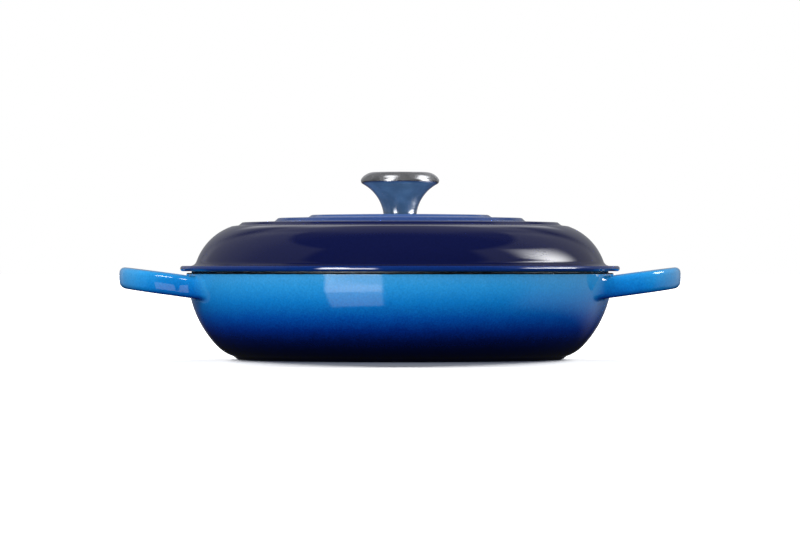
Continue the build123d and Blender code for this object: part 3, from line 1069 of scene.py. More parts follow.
@dataclass
class Lid:
    """The lid: a casting with ring steps, a flange, a locating skirt and centring lugs. In millimetres."""

    pan: Pan
    rise: float = 41.8
    wall: float = 3.2
    centre_wall: float = 3.9
    ring_shares: tuple[float, ...] = (0.536, 0.736, 0.949)
    step_shares: tuple[float, ...] = (0.192, 0.273, 0.235)
    crown_fall_share: float = 0.243
    ring_slope_width: float = 2.6
    ring_round: float = 2.0
    shoulder_width: float = 27.5
    shoulder_curve: float = 40.5
    shoulder_drop: float = 6.5
    shoulder_blend: float = 5.0
    flange_overhang: float = 3.9
    flange_width: float = 9.2
    flange_thickness: float = 3.8
    flange_round: float = 1.7
    flange_blend: float = 4.5
    seat_rise: float = 1.2
    seat_overlap: float = 1.0
    skirt_clearance: float = 1.6
    skirt_width: float = 3.4
    skirt_depth: float = 5.2
    skirt_round: float = 0.9
    hole: float = 3.5
    washer_seat: float = 10.0
    lug_count: int = 3
    lug_width: float = 9.0
    lug_clearance: float = 0.5
    lug_round: float = 0.9
    lug_sink: float = 0.05
    crown_points: int = 12
    # Wider steps than the pan's keep the casting under the triangles that a piece may have.
    longest_step: float = 5.0
    step_turn: float = 5.0
    segments: int = 288

    @property
    def top(self) -> float:
        """The height of the crown's middle."""
        return self.pan.rim_height + self.rise

    @property
    def skirt(self) -> float:
        """The outside radius of the skirt."""
        return self.pan.wall_radius - self.pan.wall - self.skirt_clearance

    def dome(self) -> tuple[Point, float, Point, float]:
        """Work out the dome of the underside.

        Returns:
            Its centre and radius, the point where it meets the washer, and its last angle.
        """
        reach = self.pan.wall_radius + self.pan.rim_lip + self.flange_overhang - self.flange_width
        centre = (reach - self.shoulder_curve, self.top - self.shoulder_drop - self.shoulder_curve)
        rise = self.shoulder_drop + self.wall - self.centre_wall
        drop = (centre[0] ** 2 - rise**2) / (2 * rise)
        curve = drop + rise + self.shoulder_curve - self.wall
        seat_angle = degrees(acos(self.washer_seat / curve))
        middle = (0.0, centre[1] - drop)
        return middle, curve, polar(middle, curve, seat_angle), degrees(atan2(drop, centre[0]))

    def section(self) -> np.ndarray:
        """Draw the section from the screw hole over the crown, round the flange and back under the dome.

        Returns:
            Rows of radius, height and zone.
        """
        foot = self.pan.rim_height + self.seat_rise
        flange_top = foot + self.flange_thickness
        flange = self.pan.wall_radius + self.pan.rim_lip + self.flange_overhang
        reach = flange - self.flange_width
        start = reach - self.shoulder_width
        centre = (reach - self.shoulder_curve, self.top - self.shoulder_drop - self.shoulder_curve)
        high = degrees(acos((start - centre[0]) / self.shoulder_curve))
        low = degrees(asin((flange_top - centre[1]) / self.shoulder_curve))
        fall = self.top - polar(centre, self.shoulder_curve, high)[1]
        inner_curve = self.shoulder_curve - self.wall
        inner_low = degrees(asin((flange_top - centre[1]) / inner_curve))
        middle, dome_curve, seat, dome_end = self.dome()
        seat_radius = self.pan.wall_radius - self.pan.wall + self.seat_overlap
        skirt_foot = self.pan.rim_height - self.skirt_depth

        outline = Outline((self.hole, self.top))
        fallen = 0.0
        for ring, step in zip(self.ring_shares, self.step_shares):
            for side in (-1, 1):
                radius = ring * start + side * self.ring_slope_width / 2
                drop = fall * (self.crown_fall_share * (radius / start) ** 2 + fallen)
                if side < 0:
                    self.crown(outline, radius, fallen, fall, start)
                    fallen += step
                else:
                    outline.line((radius, self.top - drop), corner=self.ring_round)
        outline.line(polar(centre, self.shoulder_curve, high), corner=self.shoulder_blend)
        outline.arc(centre, self.shoulder_curve, high, low, corner=self.flange_blend)
        outline.line((flange, flange_top), corner=self.flange_round)
        outline.line((flange, foot), corner=self.flange_round).enter(Zone.EDGE)
        rim = self.pan.rim_height
        outline.line((seat_radius, foot), (seat_radius, rim), (self.skirt, rim))
        outline.line((self.skirt, skirt_foot), corner=self.skirt_round)
        outline.line((self.skirt - self.skirt_width, skirt_foot), corner=self.skirt_round).enter(Zone.INSIDE)
        outline.line(polar(centre, inner_curve, inner_low))
        outline.arc(centre, inner_curve, inner_low, dome_end)
        outline.arc(middle, dome_curve, dome_end, degrees(acos(self.washer_seat / dome_curve)))
        outline.line((self.hole, seat[1]), (self.hole, self.top))
        return outline.respaced(longest=self.longest_step, turn=self.step_turn)

    def crown(self, outline: Outline, radius: float, fallen: float, fall: float, start: float) -> None:
        """Draw the crown's own shallow curve out to a ring step.

        Args:
            outline: The outline to draw on.
            radius: Where the curve ends.
            fallen: The share of the fall that the steps so far have taken.
            fall: The whole fall of the crown.
            start: The radius where the shoulder starts.
        """
        begin = outline.rows[-1][0]
        for place in np.linspace(begin, radius, self.crown_points)[1:]:
            drop = fall * (self.crown_fall_share * (place / start) ** 2 + fallen)
            outline.line((float(place), self.top - drop))
        outline.corners[len(outline.rows) - 1] = self.ring_round

    def lug_tree(self) -> Tree:
        """Build the tree that stands a ring of rounded lugs on the skirt.

        Returns:
            The tree.
        """
        tree, given = new_group(
            "Centring lugs", Count="Int", Radius="Float", Width="Float", Depth="Float", Height="Float",
            Foot="Float", Start_Angle="Float", Finish="Material",
        )
        add = partial(add_node, tree)
        width, depth = given.outputs["Width"], given.outputs["Depth"]
        plan = add("GeometryNodeCurvePrimitiveQuadrilateral", Width=depth, Height=width)
        soft = add(
            "GeometryNodeFilletCurve", Curve=plan.outputs[0], Radius=self.lug_round * MM, Limit_Radius=True
        )
        return self.finish_lugs(tree, given, soft.outputs[0])

    def finish_lugs(self, tree: Tree, given: Node, plan: Socket) -> Tree:
        """Raise the lugs from their plan and place them round the axis.

        Args:
            tree: The tree so far.
            given: Its input node.
            plan: The outline of one lug.

        Returns:
            The finished tree.
        """
        add = partial(add_node, tree)
        filled = add("GeometryNodeFillCurve", {"mode": "NGONS"}, Curve=plan)
        up = add("ShaderNodeCombineXYZ", Z=given.outputs["Height"])
        raised = add(
            "GeometryNodeExtrudeMesh", Mesh=filled.outputs[0], Offset=up.outputs[0], Individual=False
        )
        turned = add("GeometryNodeFlipFaces", Mesh=filled.outputs[0])
        closed = add("GeometryNodeJoinGeometry")
        for part in (raised, turned):
            tree.links.new(part.outputs[0], closed.inputs[0])
        whole = add("GeometryNodeMergeByDistance", Geometry=closed.outputs[0], Distance=WELD)
        offset = add("ShaderNodeCombineXYZ", X=given.outputs["Radius"], Z=given.outputs["Foot"])
        lug = add("GeometryNodeTransform", Geometry=whole.outputs[0], Translation=offset.outputs[0])
        places = add("GeometryNodePoints", Count=given.outputs["Count"])
        index = add("GeometryNodeInputIndex").outputs[0]
        part = add("ShaderNodeMath", {"operation": "DIVIDE"}, in_0=index, in_1=given.outputs["Count"])
        angle = add(
            "ShaderNodeMath", {"operation": "MULTIPLY_ADD"},
            in_0=part, in_1=2 * pi, in_2=given.outputs["Start Angle"],
        )
        turn = add("ShaderNodeCombineXYZ", Z=angle)
        ring = add(
            "GeometryNodeInstanceOnPoints",
            Points=places.outputs[0], Instance=lug.outputs[0], Rotation=turn.outputs[0],
        )
        return close_group(tree, ring.outputs[0], given.outputs["Finish"])

    def build(self, tree: Tree, outside: Material, edge: Material, inside: Material) -> list[Piece]:
        """Build the turned casting and its lugs.

        Args:
            tree: The turning tree.
            outside: The enamel of the outside.
            edge: The enamel of the faces that meet the rim, and of the lugs.
            inside: The enamel of the lining.

        Returns:
            The two pieces.
        """
        casting = turned_piece("lid_casting", self.section(), self.segments, tree, outside, edge, inside)
        reach = self.skirt_clearance - self.lug_clearance
        depth = reach + self.skirt_width / 2
        lugs = grown(
            "lid_lugs",
            self.lug_tree(),
            Count=self.lug_count,
            Radius=(self.skirt + reach - depth / 2 - self.lug_sink) * MM,
            Width=self.lug_width * MM,
            Depth=depth * MM,
            Height=(self.skirt_depth - 2 * self.skirt_round) * MM,
            Foot=(self.pan.rim_height - self.skirt_depth + self.skirt_round) * MM,
            Start_Angle=pi / 2,
            Finish=edge,
        )
        return [casting, lugs]


# ---- knob and fixing ----


@dataclass
class Knob:
    """The knob: a drawn shell, a pressed cap and a bush inside, with its screw and washer. In millimetres."""

    lid: Lid
    sheet: float = 1.0
    radius: float = 27.9
    foot_radius: float = 11.8
    rim_rise: float = 23.8
    lip_curve: float = 2.75
    foot_round: float = 0.7
    lean_angle: float = 6.45
    bevel_width: float = 9.4
    edge_curve: float = 2.64
    edge_angle: float = 35.8
    bush_radius: float = 6.0
    bush_clearance: float = 1.3
    bush_flange: float = 2.0
    bush_end: float = 3.5
    bore_spare: float = 1.2
    screw_radius: float = 3.0
    screw_length: float = 20.0
    screw_tip: float = 0.6
    thread_pitch: float = 1.0
    head_radius: float = 6.0
    head_height: float = 3.6
    head_round: float = 1.6
    key_size: float = 4.0
    key_depth: float = 2.2
    washer_radius: float = 8.0
    washer_thickness: float = 1.2
    washer_hole: float = 3.2
    segments: int = 192
    sheet_step: float = 1.2
    cap_sink: float = 0.005
    bore_clearance: float = 0.1
    bush_edge: float = 0.3
    bush_end_edge: float = 0.6
    bush_step: float = 2.0
    bush_segments: int = 96
    washer_edges: Point = (0.3, 0.2)
    washer_step: float = 1.5
    washer_segments: int = 128
    screw_segments: int = 96
    pole: float = 0.05
    socket_edge: float = 0.15
    head_steps: int = 9
    head_edge: float = 0.2
    plain_shank: float = 3.0
    core_start: float = 3.4
    core_share: float = 0.6
    thread_start: float = 3.6
    thread_short: float = 4.6
    thread_steps: int = 40
    ridge_sides: int = 4
    ridge_share: float = 0.52
    ridge_seat: float = 0.53

    def shell_section(self) -> np.ndarray:
        """Draw the shell from its foot up the flare to the rim and back down its inside.

        Returns:
            Rows of radius, height and zone.
        """
        top = self.lid.top
        rim = top + self.rim_rise
        inset = self.radius - self.lip_curve - self.foot_radius
        run, lift = cos(radians(self.lean_angle)), sin(radians(self.lean_angle))
        reach = self.lip_curve + inset * run - self.rim_rise * lift
        flare = (inset**2 + self.rim_rise**2 - self.lip_curve**2) / (2 * reach)
        centre = (self.foot_radius + flare * run, top - flare * lift)
        lip = (self.radius - self.lip_curve, rim)
        lip_angle = degrees(atan2(lip[1] - centre[1], lip[0] - centre[0]))
        floor_angle = 180 - degrees(asin((top + self.sheet - centre[1]) / (flare + self.sheet)))
        outline = Outline((self.lid.hole, top))
        outline.line((self.foot_radius, top), corner=self.foot_round)
        outline.arc(centre, flare, 180 - self.lean_angle, lip_angle)
        outline.arc(lip, self.lip_curve, lip_angle - 180, 0)
        outline.line((self.radius - self.sheet, rim))
        outline.arc(lip, self.lip_curve - self.sheet, 0, lip_angle - 180)
        outline.arc(centre, flare + self.sheet, lip_angle, floor_angle)
        outline.line((self.lid.hole, top + self.sheet), (self.lid.hole, top))
        return outline.respaced(longest=self.sheet_step)

    def cap_section(self) -> np.ndarray:
        """Draw the cap from the middle of its top over the bevel to the rim and back under it.

        Returns:
            Rows of radius, height and zone.
        """
        rim = self.lid.top + self.rim_rise
        flat = self.radius - self.bevel_width
        edge = (self.radius - self.edge_curve, rim - self.cap_sink)
        join = polar(edge, self.edge_curve, self.edge_angle)
        curve = (join[0] - flat) / cos(radians(self.edge_angle))
        centre = (flat, join[1] - curve * sin(radians(self.edge_angle)))
        top = centre[1] + curve
        outline = Outline((0, top)).line((flat, top))
        outline.arc(centre, curve, 90, self.edge_angle)
        outline.arc(edge, self.edge_curve, self.edge_angle, 0)
        outline.line((self.radius - self.sheet, rim))
        outline.arc(edge, self.edge_curve - self.sheet, 0, self.edge_angle)
        outline.arc(centre, curve - self.sheet, self.edge_angle, 90)
        outline.line((0, top - self.sheet))
        return outline.respaced(longest=self.sheet_step)

    def bush_section(self) -> np.ndarray:
        """Draw the bush with its flange and blind bore.

        Returns:
            Rows of radius, height and zone.
        """
        floor = self.lid.top + self.sheet
        depth = self.head_top + self.screw_length + self.bore_spare - floor
        bore, top = self.screw_radius + self.bore_clearance, floor + depth + self.bush_end
        flange = self.foot_radius - self.sheet - self.bush_clearance
        step = floor + self.bush_flange
        outline = Outline((0, floor + depth)).line((bore, floor + depth))
        outline.line((bore, floor), (flange, floor), corner=self.bush_edge)
        outline.line((flange, step), corner=self.bush_edge).line((self.bush_radius, step))
        outline.line((self.bush_radius, top), corner=self.bush_end_edge).line((0, top))
        return outline.respaced(longest=self.bush_step)

    @property
    def head_top(self) -> float:
        """The height of the screw head's upper face, under the washer."""
        return self.lid.dome()[2][1] - self.washer_thickness

    def washer_section(self) -> np.ndarray:
        """Draw the washer.

        Returns:
            Rows of radius, height and zone.
        """
        low, high = self.head_top, self.head_top + self.washer_thickness
        lower, upper = self.washer_edges
        outline = Outline((self.washer_hole, low)).line((self.washer_radius, low), corner=lower)
        outline.line((self.washer_radius, high), corner=upper)
        outline.line((self.washer_hole, high), (self.washer_hole, low))
        return outline.respaced(longest=self.washer_step)

    def screw(self, finish: Material) -> Piece:
        """Make the screw's head with its hexagon socket, and the shank up to its tip.

        Args:
            finish: The screw's steel.

        Returns:
            The new object.
        """
        angles = np.linspace(0, 2 * pi, self.screw_segments, endpoint=False)
        hexagon = self.key_size / 2 / np.cos((angles + pi / 6) % (pi / 3) - pi / 6)
        top, low = self.head_top, self.head_top - self.head_height
        end, socket = top + self.screw_length, low + self.key_depth
        core = self.screw_radius - self.core_share * self.thread_pitch
        inner = self.head_radius - self.head_round
        turned = [(inner, low)]
        for turn in np.linspace(0, pi / 2, self.head_steps)[1:]:
            turned.append((inner + self.head_round * sin(turn), low + self.head_round * (1 - cos(turn))))
        turned += [(self.head_radius, top - self.head_edge), (self.head_radius - self.head_edge, top)]
        turned += [(self.screw_radius, top), (self.screw_radius, top + self.plain_shank)]
        turned += [(core, top + self.core_start), (core, end - self.screw_tip), (core - self.screw_tip, end)]
        turned.append((self.pole, end))
        levels = [(hexagon * self.pole, socket), (hexagon, socket), (hexagon, low + self.socket_edge)]
        levels += [(hexagon + self.socket_edge, low), *turned]
        rings = []
        for radius, height in levels:
            ring = [radius * np.cos(angles), radius * np.sin(angles), np.full(self.screw_segments, height)]
            rings.append(np.stack(ring, axis=1))
        return skin("lid_screw_body", np.array(rings), finish)

    def thread_tree(self) -> Tree:
        """Build the tree that winds a thread's ridge round a shank.

        Returns:
            The tree.
        """
        tree, given = new_group(
            "Screw thread", Radius="Float", Pitch="Float", Length="Float", Foot="Float", Finish="Material"
        )
        add = partial(add_node, tree)
        radius, pitch, length = (given.outputs[size] for size in ("Radius", "Pitch", "Length"))
        turns = add("ShaderNodeMath", {"operation": "DIVIDE"}, in_0=length, in_1=pitch)
        wound = add(
            "GeometryNodeCurveSpiral", Resolution=self.thread_steps, Rotations=turns,
            Start_Radius=radius, End_Radius=radius, Height=length,
        )
        lift = add("ShaderNodeCombineXYZ", Z=given.outputs["Foot"])
        placed = add("GeometryNodeTransform", Geometry=wound.outputs[0], Translation=lift.outputs[0])
        size = add("ShaderNodeMath", {"operation": "MULTIPLY"}, in_0=pitch, in_1=self.ridge_share)
        ridge = add("GeometryNodeCurvePrimitiveCircle", Resolution=self.ridge_sides, Radius=size)
        swept = add(
            "GeometryNodeCurveToMesh", Curve=placed.outputs[0], Profile_Curve=ridge.outputs[0], Fill_Caps=True
        )
        return close_group(tree, swept.outputs[0], given.outputs["Finish"])

    def build_knob(self, tree: Tree, finish: Material) -> list[Piece]:
        """Build the shell and the cap."""
        sections = {"knob_shell_drawn": self.shell_section(), "knob_cap_pressed": self.cap_section()}
        return [turned_piece(name, rows, self.segments, tree, finish) for name, rows in sections.items()]

    def build_fixing(self, tree: Tree, finish: Material) -> list[Piece]:
        """Build the fixing.

        Args:
            tree: The turning tree.
            finish: The fixing's steel.

        Returns:
            The bush, the washer, the screw and its thread.
        """
        bush = turned_piece("knob_bush_turned", self.bush_section(), self.bush_segments, tree, finish)
        washer = turned_piece("lid_washer_plain", self.washer_section(), self.washer_segments, tree, finish)
        thread = grown(
            "lid_screw_thread",
            self.thread_tree(),
            Radius=(self.screw_radius - self.ridge_seat * self.thread_pitch) * MM,
            Pitch=self.thread_pitch * MM,
            Length=(self.screw_length - self.thread_short) * MM,
            Foot=(self.head_top + self.thread_start) * MM,
            Finish=finish,
        )
        return [bush, washer, self.screw(finish), thread]
# ---- studio ----


@dataclass(frozen=True)
class Panel:
    """A lit panel that shows only as a reflection, seen from the braiser's middle. In degrees and metres."""

    name: str
    azimuth: tuple[float, float]
    elevation: tuple[float, float]
    strength: tuple[float, float]
    softness: tuple[float, float, float] = (0.1, 0.1, 0.1)
    slant: float = 0.0
    seen_in: tuple[str, ...] = ()
    steps: int = 24

    def build(self, distance: float) -> Piece:
        """Build the panel as a curved sheet between its angles, seen in all pieces or in the named ones.

        Args:
            distance: How far it is from the middle of the braiser.

        Returns:
            The new object.
        """
        steps = self.steps
        points, faces, corners = [], [], []
        for row in range(steps + 1):
            rise = radians(self.elevation[0] + (self.elevation[1] - self.elevation[0]) * row / steps)
            for column in range(steps + 1):
                turn = radians(self.azimuth[0] + (self.azimuth[1] - self.azimuth[0]) * column / steps)
                tilt = rise + radians(self.slant) * (0.5 - column / steps)
                flat = distance * cos(tilt)
                points.append((flat * sin(turn), -flat * cos(turn), distance * sin(tilt)))
                corners.append((column / steps, row / steps))
        for row in range(steps):
            for column in range(steps):
                first = row * (steps + 1) + column
                faces.append((first, first + 1, first + steps + 2, first + steps + 1))
        mesh = bpy.data.meshes.new(self.name)
        mesh.from_pydata(points, [], faces)
        chart = mesh.uv_layers.new(name="panel")
        for loop in mesh.loops:
            chart.data[loop.index].uv = corners[loop.vertex_index]
        mesh.materials.append(self.glow())
        sheet = bpy.data.objects.new(self.name, mesh)
        bpy.context.scene.collection.objects.link(sheet)
        sheet.visible_camera = sheet.visible_diffuse = False
        sheet.visible_shadow = sheet.visible_transmission = False
        if self.seen_in:
            receivers = bpy.data.collections.new(f"{self.name} receivers")
            for piece in self.seen_in:
                receivers.objects.link(bpy.data.objects[piece])
            sheet.light_linking.receiver_collection = receivers
        return sheet

    def glow(self) -> Material:
        """Build the panel's light, from the strength at its foot to that at its top, soft at its edges.

        Returns:
            The material.
        """
        material = bpy.data.materials.new(self.name)
        material.use_nodes = True
        material.cycles.emission_sampling = "NONE"
        tree = material.node_tree
        tree.nodes.clear()
        add = partial(add_node, tree)
        chart = add("ShaderNodeUVMap", {"uv_map": "panel"})
        apart = add("ShaderNodeSeparateXYZ", Vector=chart)
        across, up = apart.outputs["X"], apart.outputs["Y"]
        power = add("ShaderNodeMapRange", Value=up, To_Min=self.strength[0], To_Max=self.strength[1])
        side, foot, top = self.softness
        spans = ((across, 0.0, side), (across, 1.0, 1 - side), (up, 0.0, foot), (up, 1.0, 1 - top))
        for place, start, end in spans:
            edge = add(
                "ShaderNodeMapRange", {"interpolation_type": "SMOOTHSTEP"},
                Value=place, From_Min=start, From_Max=end,
            )
            power = add("ShaderNodeMath", {"operation": "MULTIPLY"}, in_0=power, in_1=edge)
        light = add("ShaderNodeEmission", Strength=power)
        clear = add("ShaderNodeBsdfTransparent")
        both = add("ShaderNodeAddShader", in_0=light, in_1=clear)
        add("ShaderNodeOutputMaterial", Surface=both)
        return material


PAN, LID = ("pan_casting",), ("lid_casting",)
ARMS = ("pan_handle_left", "pan_handle_right")
KNOB = ("knob_shell_drawn", "knob_cap_pressed")
PANELS = (
    Panel("left wall", (-154.0, -56.0), (-12.0, 58.0), (0.22, 0.22), (0.1, 0.3, 0.06), seen_in=LID),
    Panel("left arm wall", (-154.0, -56.0), (-30.0, 58.0), (0.13, 0.13), (0.1, 0.3, 0.06), seen_in=ARMS),
    Panel("right wall", (50.0, 152.0), (-12.0, 56.0), (0.26, 0.26), (0.1, 0.3, 0.06), seen_in=LID),
    Panel("right haze", (57.0, 160.0), (-27.0, 40.0), (0.36, 0.36), (0.25, 0.2, 0.1), -16.0, PAN + ARMS),
    Panel("left softbox", (-41.0, -8.5), (-17.7, 12.0), (3.3, 9.0), (0.05, 0.08, 0.05), seen_in=PAN),
    Panel("left softbox skirt", (-41.0, -8.5), (-32.5, -15.0), (1.2, 1.8), (0.05, 0.1, 0.1), seen_in=PAN),
    Panel("left strip", (-44.0, -10.0), (-22.0, 18.0), (16.0, 16.0), (0.15, 0.3, 0.3), seen_in=LID),
    Panel("high left strip", (-42.0, -24.0), (4.0, 28.0), (26.0, 26.0), (0.2, 0.1, 0.2), seen_in=LID),
    Panel("low left softbox", (-36.0, -10.0), (-22.0, 5.0), (1.6, 1.6), (0.05, 0.1, 0.1), seen_in=ARMS),
    Panel("left arm strip", (-38.0, -7.0), (44.0, 66.0), (14.0, 14.0), (0.15, 0.1, 0.1), seen_in=ARMS),
    Panel("right arm strip", (76.0, 128.0), (34.0, 62.0), (14.0, 14.0), (0.15, 0.1, 0.1), seen_in=ARMS),
    Panel("right strip", (62.0, 106.0), (2.0, 19.0), (24.0, 24.0), (0.2, 0.2, 0.2), seen_in=LID),
    Panel("right glow", (74.0, 124.0), (26.8, 46.0), (15.0, 0.3), (0.5, 0.05, 0.2), 18.0, LID),
    Panel("back light", (162.0, 198.0), (20.0, 48.0), (0.75, 0.75), (0.2, 0.2, 0.2), seen_in=LID),
    Panel("high back light", (132.0, 228.0), (34.0, 82.0), (0.3, 0.04), (0.3, 0.2, 0.3), seen_in=LID),
    Panel("knob dome", (-180.0, 180.0), (-8.0, 89.0), (0.24, 0.24), (0.001, 0.05, 0.001), seen_in=KNOB),
    Panel("knob left spot", (-44.0, -20.0), (-11.0, 74.0), (4.0, 4.0), (0.2, 0.06, 0.1), seen_in=KNOB),
    Panel("knob left top spot", (-124.0, -44.0), (66.0, 86.0), (3.0, 3.0), (0.1, 0.2, 0.2), seen_in=KNOB),
    Panel("knob right spot", (66.0, 96.0), (-11.0, 62.0), (4.0, 4.0), (0.2, 0.06, 0.1), seen_in=KNOB),
    Panel("knob right top spot", (92.0, 142.0), (42.0, 62.0), (3.0, 3.0), (0.2, 0.2, 0.2), seen_in=KNOB),
)


@dataclass(frozen=True)
class Lamp:
    """One wide soft lamp, for the pieces or for the floor alone. Width, height and turn are in degrees."""

    name: str
    power: float
    width: float
    height: float
    turn: float
    on_floor: bool = False

    def build(self, floor: Piece) -> Piece:
        """Hang the lamp, unseen in glosses, for all but the floor, or for the floor with the pan's shade.

        Args:
            floor: The floor.

        Returns:
            The new object.
        """
        data = bpy.data.lights.new(self.name, "SUN")
        data.energy, data.angle = self.power, radians(self.width)
        lamp = bpy.data.objects.new(self.name, data)
        lamp.rotation_euler = (radians(90 - self.height), 0, radians(self.turn))
        lamp.visible_glossy = lamp.visible_camera = False
        bpy.context.scene.collection.objects.link(lamp)
        linked = bpy.data.collections.new(f"{self.name} receivers")
        linked.objects.link(floor)
        linked.collection_objects[0].light_linking.link_state = "INCLUDE" if self.on_floor else "EXCLUDE"
        lamp.light_linking.receiver_collection = linked
        if self.on_floor:
            shades = bpy.data.collections.new(f"{self.name} shades")
            for piece in PAN:
                shades.objects.link(bpy.data.objects[piece])
            lamp.light_linking.blocker_collection = shades
        return lamp


LAMPS = (
    Lamp("front left lamp", 1.95, 40.0, 32.0, -30.0),
    Lamp("right lamp", 0.7, 50.0, 25.0, 78.0),
    Lamp("back left lamp", 34.0, 20.0, 13.0, 158.0, on_floor=True),
    Lamp("back right lamp", 34.0, 20.0, 13.0, -158.0, on_floor=True),
)


@dataclass(frozen=True)
class Studio:
    """A pale floor, a white surround, soft lamps and the camera of the photograph."""

    eye_distance: float = 3.67
    eye_height: float = 0.0657
    frame_width: float = 0.5692
    sensor: float = 36.0
    view_range: float = 100.0
    sky: float = 0.55
    below: float = 0.32
    floor_half: float = 40.0
    # A faint cool glow on the floor is painted bounce light: it stands in for the blue light that the pan
    # throws into its shadow.
    floor_glow: float = 0.04
    floor_bounce_hue: str = "#8fb0f0"
    floor_tones: tuple[str, str] = ("#9c9c9c", "#a2a2a2")
    floor_cloud: float = 300.0
    floor_roughness: float = 0.9
    front_gloss: float = 0.012
    side_gloss: float = 0.06
    back_gloss: float = 0.22
    # Where a part of the surround starts and is full, as shares of the way back or up.
    side_span: Point = (0.1, 0.4)
    back_span: Point = (0.77, 0.9)
    gloss_rise: Point = (-0.2, 0.1)
    sky_rise: Point = (-0.15, 0.15)
    tint: tuple[float, float, float, float] = (0.95, 0.97, 1.03, 1.0)
    # Each panel hangs a little further out than the last, so that none cut each other.
    panel_distance: float = 2.0
    panel_gap: float = 0.02
    lamps: tuple[Lamp, ...] = LAMPS
    panels: tuple[Panel, ...] = PANELS

    def camera(self) -> None:
        """Place the camera level with the middle of the braiser, far in front of it."""
        data = bpy.data.cameras.new("camera")
        data.sensor_width = self.sensor
        data.lens = self.sensor * self.eye_distance / self.frame_width
        data.clip_end = self.view_range
        eye = bpy.data.objects.new("camera", data)
        eye.location = (0, -self.eye_distance, self.eye_height)
        eye.rotation_euler = (pi / 2, 0, 0)
        bpy.context.scene.collection.objects.link(eye)
        bpy.context.scene.camera = eye

    def floor(self) -> Piece:
        """Lay a wide pale floor.

        Returns:
            The new object.
        """
        half = self.floor_half
        mesh = bpy.data.meshes.new("floor")
        corners = [(-half, -half, 0), (half, -half, 0), (half, half, 0), (-half, half, 0)]
        mesh.from_pydata(corners, [], [(0, 1, 2, 3)])
        coat = Coat("pale matt floor")
        stops = [(float(share), linear(tone)) for share, tone in enumerate(self.floor_tones)]
        tone = coat.add("ShaderNodeValToRGB", {"stops": stops}, Fac=coat.grain(self.floor_cloud, 0, 1))
        # Painted bounce light: the floor glows faintly in a cool hue.
        glow = {"Emission_Color": linear(self.floor_bounce_hue), "Emission_Strength": self.floor_glow}
        matt = {"Roughness": self.floor_roughness, "Specular_IOR_Level": 0.0}
        mesh.materials.append(coat.finish(Base_Color=tone, **matt, **glow))
        ground = bpy.data.objects.new("floor", mesh)
        bpy.context.scene.collection.objects.link(ground)
        ground.visible_glossy = ground.visible_diffuse = False
        return ground

    def surround(self) -> None:
        """Light the world: white to the eye, soft on matt faces, dark in a gloss but for a band behind."""
        world = bpy.data.worlds.new("surround")
        bpy.context.scene.world = world
        world.use_nodes = True
        world.cycles.sampling_method = "NONE"
        tree = world.node_tree
        tree.nodes.clear()
        add = partial(add_node, tree)
        place = add("ShaderNodeTexCoord").outputs["Generated"]
        apart = add("ShaderNodeSeparateXYZ", Vector=place)
        back, up = apart.outputs["Y"], apart.outputs["Z"]
        # Each row is a direction, the span over which a part comes in, and its values before and after.
        parts = (
            (back, self.side_span, 0.0, self.side_gloss),
            (back, self.back_span, 0.0, self.back_gloss),
            (up, self.gloss_rise, 0.0, 1.0),
            (up, self.sky_rise, self.below, self.sky),
        )
        aside, behind, above, soft = (
            add(
                "ShaderNodeMapRange", {"interpolation_type": "SMOOTHSTEP"},
                Value=way, From_Min=span[0], From_Max=span[1], To_Min=before, To_Max=after,
            )
            for way, span, before, after in parts
        )
        both = add("ShaderNodeMath", {"operation": "ADD"}, in_0=aside, in_1=behind)
        shine = add(
            "ShaderNodeMath", {"operation": "MULTIPLY_ADD"}, in_0=both, in_1=above, in_2=self.front_gloss
        )
        path = add("ShaderNodeLightPath")
        level = add("ShaderNodeMix", Factor=path.outputs["Is Glossy Ray"], A=soft, B=shine)
        eye = path.outputs["Is Camera Ray"]
        seen = add("ShaderNodeMix", Factor=eye, A=level, B=1.0)
        hue = add("ShaderNodeMix", {"data_type": "RGBA"}, Factor=eye, A=self.tint, B=(1, 1, 1, 1))
        light = add("ShaderNodeBackground", Color=hue, Strength=seen)
        add("ShaderNodeOutputWorld", Surface=light)

    def build(self) -> None:
        """Build the whole studio round the finished pieces."""
        bpy.context.scene.view_settings.view_transform = "Standard"
        self.camera()
        self.surround()
        ground = self.floor()
        for lamp in self.lamps:
            lamp.build(ground)
        for index, panel in enumerate(self.panels):
            panel.build(self.panel_distance + self.panel_gap * index)


# ---- the whole braiser ----

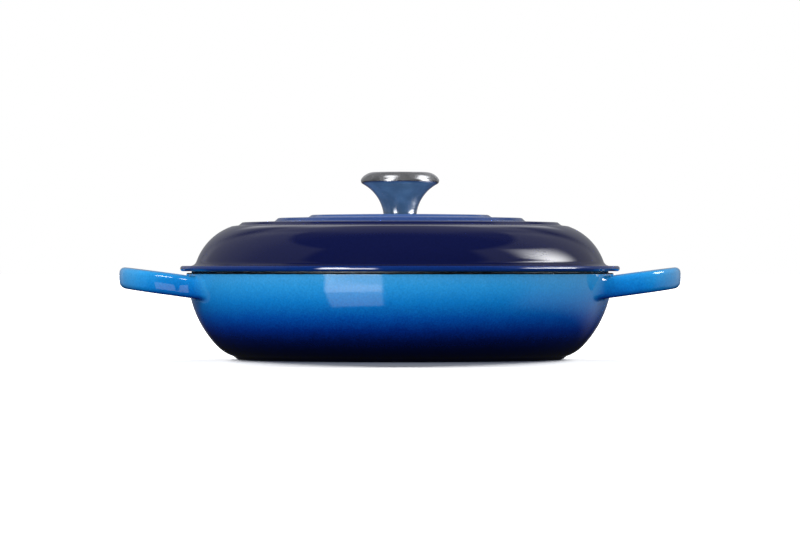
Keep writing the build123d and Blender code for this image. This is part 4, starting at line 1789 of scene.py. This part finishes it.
PAN_FADE = (
    (0.0, "#02030e"),
    (9.0, "#00092e"),
    (15.0, "#00124c"),
    (22.0, "#002b84"),
    (30.0, "#0151b0"),
    (42.0, "#1084d6"),
    (52.0, "#2b9de5"),
    (62.0, "#48b0f0"),
)
LID_FADE = (
    (0.0, "#7ba9da"),
    (30.0, "#608fca"),
    (66.0, "#3e5c98"),
    (86.0, "#3a558f"),
    (98.0, "#1a2556"),
    (120.0, "#121845"),
    (148.0, "#0f153f"),
    (153.0, "#0b2059"),
    (156.0, "#0e3074"),
)


def mount(pieces: list[Piece], body: Body, slot: Slot, *nodes: str) -> None:
    """Make pieces ride a body, in place of CAD nodes.

    Args:
        pieces: The pieces.
        body: The body that they ride.
        slot: The record's slot of their finish; not used.
        nodes: The nodes that the first piece stands for.
    """
    for piece in pieces:
        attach(piece, body.value)
        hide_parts(*nodes)
        log.info("%s rides %s with %d faces", piece.name, body.value, len(piece.data.polygons))


def main() -> None:
    """Build the braiser piece by piece, then the studio."""
    logging.basicConfig(level=logging.INFO, format="%(name)s: %(message)s")
    pan_enamel = SprayedEnamel(
        "sprayed blue pan enamel", Fade.HEIGHT, PAN_FADE, rim=(60.75, 153.5)
    ).material()
    lid_enamel = SprayedEnamel(
        "sprayed blue lid enamel", Fade.RADIUS, LID_FADE, spray=1.5, peel_depth=0.004
    ).material()
    black, sand = RimEnamel().material(), LiningEnamel().material()
    satin = SpunSteel("satin polished stainless steel", "#b9babd", "#9fa1a5", 0.24, 0.35, 0.004).material()
    turned = SpunSteel("bright turned stainless steel", "#b4b5b8", "#8f9195", 0.3, 0.25, 0.006).material()

    tree = turning_tree()
    pan = Pan()
    mount(pan.build(tree, pan_enamel, black, sand), Body.PAN, Slot.PAN, "pan")
    lid = Lid(pan)
    mount(lid.build(tree, lid_enamel, black, sand), Body.LID, Slot.LID, "lid")
    knob = Knob(lid)
    shell, cap = knob.build_knob(tree, satin)
    mount([shell], Body.LID, Slot.KNOB, "knob_shell")
    mount([cap], Body.LID, Slot.KNOB, "knob_cap")
    bush, washer, *screw = knob.build_fixing(tree, turned)
    mount([bush], Body.LID, Slot.FIXING, "knob_bush")
    mount([washer], Body.LID, Slot.FIXING, "lid_washer")
    mount(screw, Body.LID, Slot.FIXING, "lid_screw")
    Studio().build()


if __name__ == "__main__":
    main()
